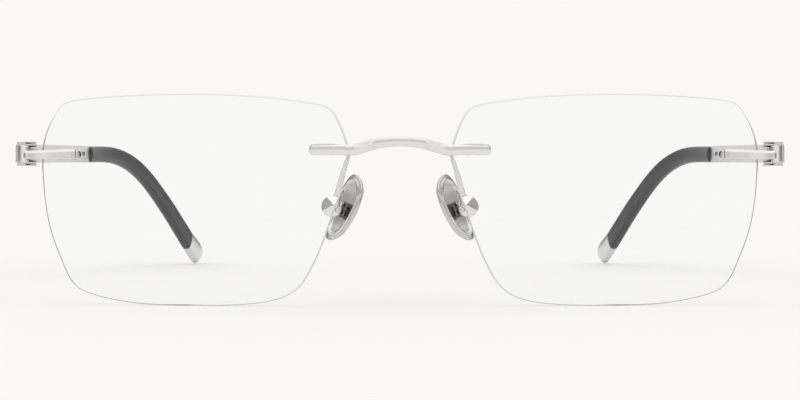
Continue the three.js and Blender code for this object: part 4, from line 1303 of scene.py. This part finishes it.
def build():
    lens, plate, nut = lens_mesh(), plate_mesh(), nut_mesh()
    bushing = turned(BUSHING_PROFILE, 40, closed=True)
    endpiece, screw = endpiece_mesh(), hinge_screw_mesh()
    washer = turned(WASHER_PROFILE, 40, "z", closed=True)
    temple, sleeve, cap = temple_mesh(), sleeve_mesh(), cap_mesh()
    pad_arm, pad_box = pad_arm_mesh(), pad_box_mesh()
    pad_screw, nose_pad = pad_screw_mesh(), nose_pad_mesh()

    place("bridge", bridge_mesh(), [SILVER], METAL, sharp=24)
    for side, sign in SIDES:

        def put(piece, *details, **options):
            place(f"{piece}_{side}", *details, sign=sign, **options)

        put("lens", lens, [LENS, RIM], "lens_clear", sharp=40, mark=mark_rim)
        for mount, frame, post_names in MOUNTS:
            put(f"{mount}_clamp_plate", plate, [BACKING], METAL, where=frame)
            for x, post in zip(POST_X, post_names):
                at_post = frame @ Matrix.Translation((x, 0, 0))
                put(f"{mount}_bushing_{post}", bushing, [NYLON], "bushing_nylon", where=at_post)
                put(f"{mount}_nut_{post}", nut, [HARDWARE], STEEL, where=at_post)
        put("endpiece", endpiece, [SILVER], METAL, sharp=30)
        put("hinge_screw", screw, [HARDWARE], STEEL, where=Matrix.Translation(HINGE))
        for level, z in (("upper", WASHER_Z), ("lower", -WASHER_Z)):
            at_washer = Matrix.Translation((PIN_X, PIN_Y, HINGE_Z + z))
            put(f"hinge_washer_{level}", washer, [WASHER], "washer_nylon", where=at_washer)
        arm = f"temple_{side}"
        bar_materials = [SILVER_LONG, OVAL_MARK_DARK]
        put("temple_bar", temple, bar_materials, METAL, body=arm, sharp=30, mark=mark_recess)
        put("temple_sleeve", sleeve, [SLEEVE], "sleeve_plastic", body=arm, sharp=40)
        put("temple_tip_cap", cap, [CAP], METAL, body=arm, sharp=40)
        put("pad_arm", pad_arm, [SILVER], METAL, sharp=40)
        put("pad_box", pad_box, [POLISHED, FACET_PAINTED_SHADE], PAD_METAL, sharp=18, mark=mark_facet)
        put("pad_screw", pad_screw, [HARDWARE], STEEL)
        pad_materials = [PAD, PAINTED_BOSS_SHADE, PAD_EDGE_PAINTED_SHADE]
        put("nose_pad", nose_pad, pad_materials, PAD_METAL, body=f"pad_{side}", mark=mark_pad)


build()

# ---------------------------------------------------------------- floor
BACKDROP = (0.947, 0.939, 0.921)
# In metres
FLOOR_Z = -0.00002
FLOOR_RADII = (0.002, 0.2, 0.5, 1.5, 6.0)


def floor_material():
    material, shader = new_material("floor_pale")
    darker, lighter = (tuple(c * share for c in BACKDROP) for share in (0.9985, 1.0015))
    cloud = shader.noise(scale=0.004, detail=2.0)
    matt = shader.add("BsdfDiffuse", {"Color": shader.mix(cloud, darker, lighter)})
    # mirrored at a shallow angle, the table ends and the room shows
    position = shader.add("NewGeometry").outputs["Position"]
    reach = shader.add("VectorMath", {0: position}, operation="LENGTH").outputs["Value"]
    glossy_ray = shader.add("LightPath").outputs["Is Glossy Ray"]
    away = shader.math("MULTIPLY", shader.remap(reach, source=(0.14, 0.38)), glossy_ray)
    transparent = shader.add("BsdfTransparent").outputs[0]
    surface = shader.blend(away, matt.outputs[0], transparent)
    shader.add("OutputMaterial", {0: surface})
    return material


def add_floor():
    """Matt pale floor, which comes out as bright as the backdrop under the even light."""
    count = 96
    angles = np.arange(count) / count * 2 * math.pi
    level = np.full(count, FLOOR_Z)
    points = np.vstack(
        [np.stack([r * np.cos(angles), r * np.sin(angles), level], 1) for r in FLOOR_RADII]
    )
    faces = []
    for low in range(0, (len(FLOOR_RADII) - 1) * count, count):
        high = low + count
        for i in range(count):
            k = (i + 1) % count
            faces.append((low + i, low + k, high + k, high + i))
    faces.append(tuple(range(count)))
    mesh = as_mesh((points, faces))
    mesh.name = "floor"
    floor = new_object("floor", mesh)
    mesh.materials.append(floor_material())


add_floor()

# ---------------------------------------------------------------- studio light
# What metal mirrors: a room bright and dark by turns from the front (0) round to the back (1),
# under a bright ceiling. Each stop is (position, brightness).
ROOM_FRONT = [
    (0.0, 0.7), (0.21, 0.72), (0.235, 1.1), (0.25, 1.05), (0.28, 0.5), (0.37, 0.28),
    (0.49, 0.28), (0.56, 0.85),
]
ROOM_BACK = [(0.84, 0.38), (0.91, 0.88), (1.0, 0.9)]
UPPER_ROOM = ROOM_FRONT + [(0.62, 0.8), (0.67, 0.46), (0.74, 0.33)] + ROOM_BACK
LOWER_ROOM = ROOM_FRONT + [(0.7, 0.85), (0.75, 0.33)] + ROOM_BACK
# By height, from level (0) to straight up (1)
UPPER_SHARE = [(0.0, 0.0), (0.08, 0.0), (0.26, 1.0), (1.0, 1.0)]
CEILING_SHARE = [(0.0, 0.0), (0.42, 0.0), (0.58, 0.9), (0.8, 1.0), (1.0, 1.0)]
CEILING = [(0.0, 1.1), (0.57, 1.12), (0.64, 0.78), (0.7, 1.12), (1.0, 1.2)]
ROOM_TINT = (1, 0.997, 0.99)


def set_world():
    """Mirrors see the room, the camera sees the backdrop and matt surfaces get even light."""
    world = bpy.data.worlds.new("studio")
    bpy.context.scene.world = world
    shader = Shader(world)
    world.cycles.sampling_method = "NONE"
    generated = shader.add("TexCoord").outputs["Generated"]
    direction = shader.add("SeparateXYZ", {0: generated}).outputs

    def by_turn(stops):
        return shader.ramp(turn, stops, ROOM_TINT, "EASE")

    def by_height(stops):
        height = shader.remap(direction["Z"], source=(0.0, 1.0))
        return shader.ramp(height, stops, ROOM_TINT, "EASE")

    def background(colour):
        return shader.add("Background", {"Color": colour}).outputs[0]

    across = shader.math("ABSOLUTE", direction["X"])
    forwards = shader.math("MULTIPLY", direction["Y"], -1.0)
    turn = shader.remap(shader.math("ARCTAN2", across, forwards), source=(0.0, math.pi))
    room = shader.mix(by_height(UPPER_SHARE), by_turn(LOWER_ROOM), by_turn(UPPER_ROOM))
    mirrored = shader.mix(by_height(CEILING_SHARE), room, by_height(CEILING))
    ray = shader.add("LightPath").outputs
    seen = shader.math("MAXIMUM", ray["Is Camera Ray"], ray["Is Transmission Ray"])
    light = shader.blend(seen, background(mirrored), background((*BACKDROP, 1)))
    light = shader.blend(ray["Is Diffuse Ray"], light, background((1, 1, 1, 1)))
    shader.add("OutputWorld", {0: light})


set_world()

# ---------------------------------------------------------------- camera and render
CAMERA_DISTANCE = 345  # mm in front of the lens vertices
CAMERA_HEIGHT = 0.0269  # m
CAMERA_DIP = rad(1.3142832)  # how far it looks down from level
FOCAL_LENGTH = 87.8715  # mm
SENSOR_WIDTH = 36.0  # mm

camera_data = bpy.data.cameras.new("camera")
camera = new_object("camera", camera_data)
camera_data.sensor_width = SENSOR_WIDTH
camera_data.lens = FOCAL_LENGTH
camera_data.clip_start = 0.01
camera_data.clip_end = 20
camera.location = (0, -(CAMERA_DISTANCE + FRONT_SHIFT) / 1000, CAMERA_HEIGHT)
camera.rotation_euler = (rad(90) - CAMERA_DIP, 0, 0)

scene = bpy.context.scene
scene.camera = camera
scene.view_settings.view_transform = "Standard"
scene.view_settings.look = "None"
scene.cycles.use_denoising = True
scene.cycles.max_bounces = 16
scene.cycles.transmission_bounces = 14
scene.cycles.glossy_bounces = 6
scene.cycles.transparent_max_bounces = 16
scene.cycles.sample_clamp_indirect = 4.0
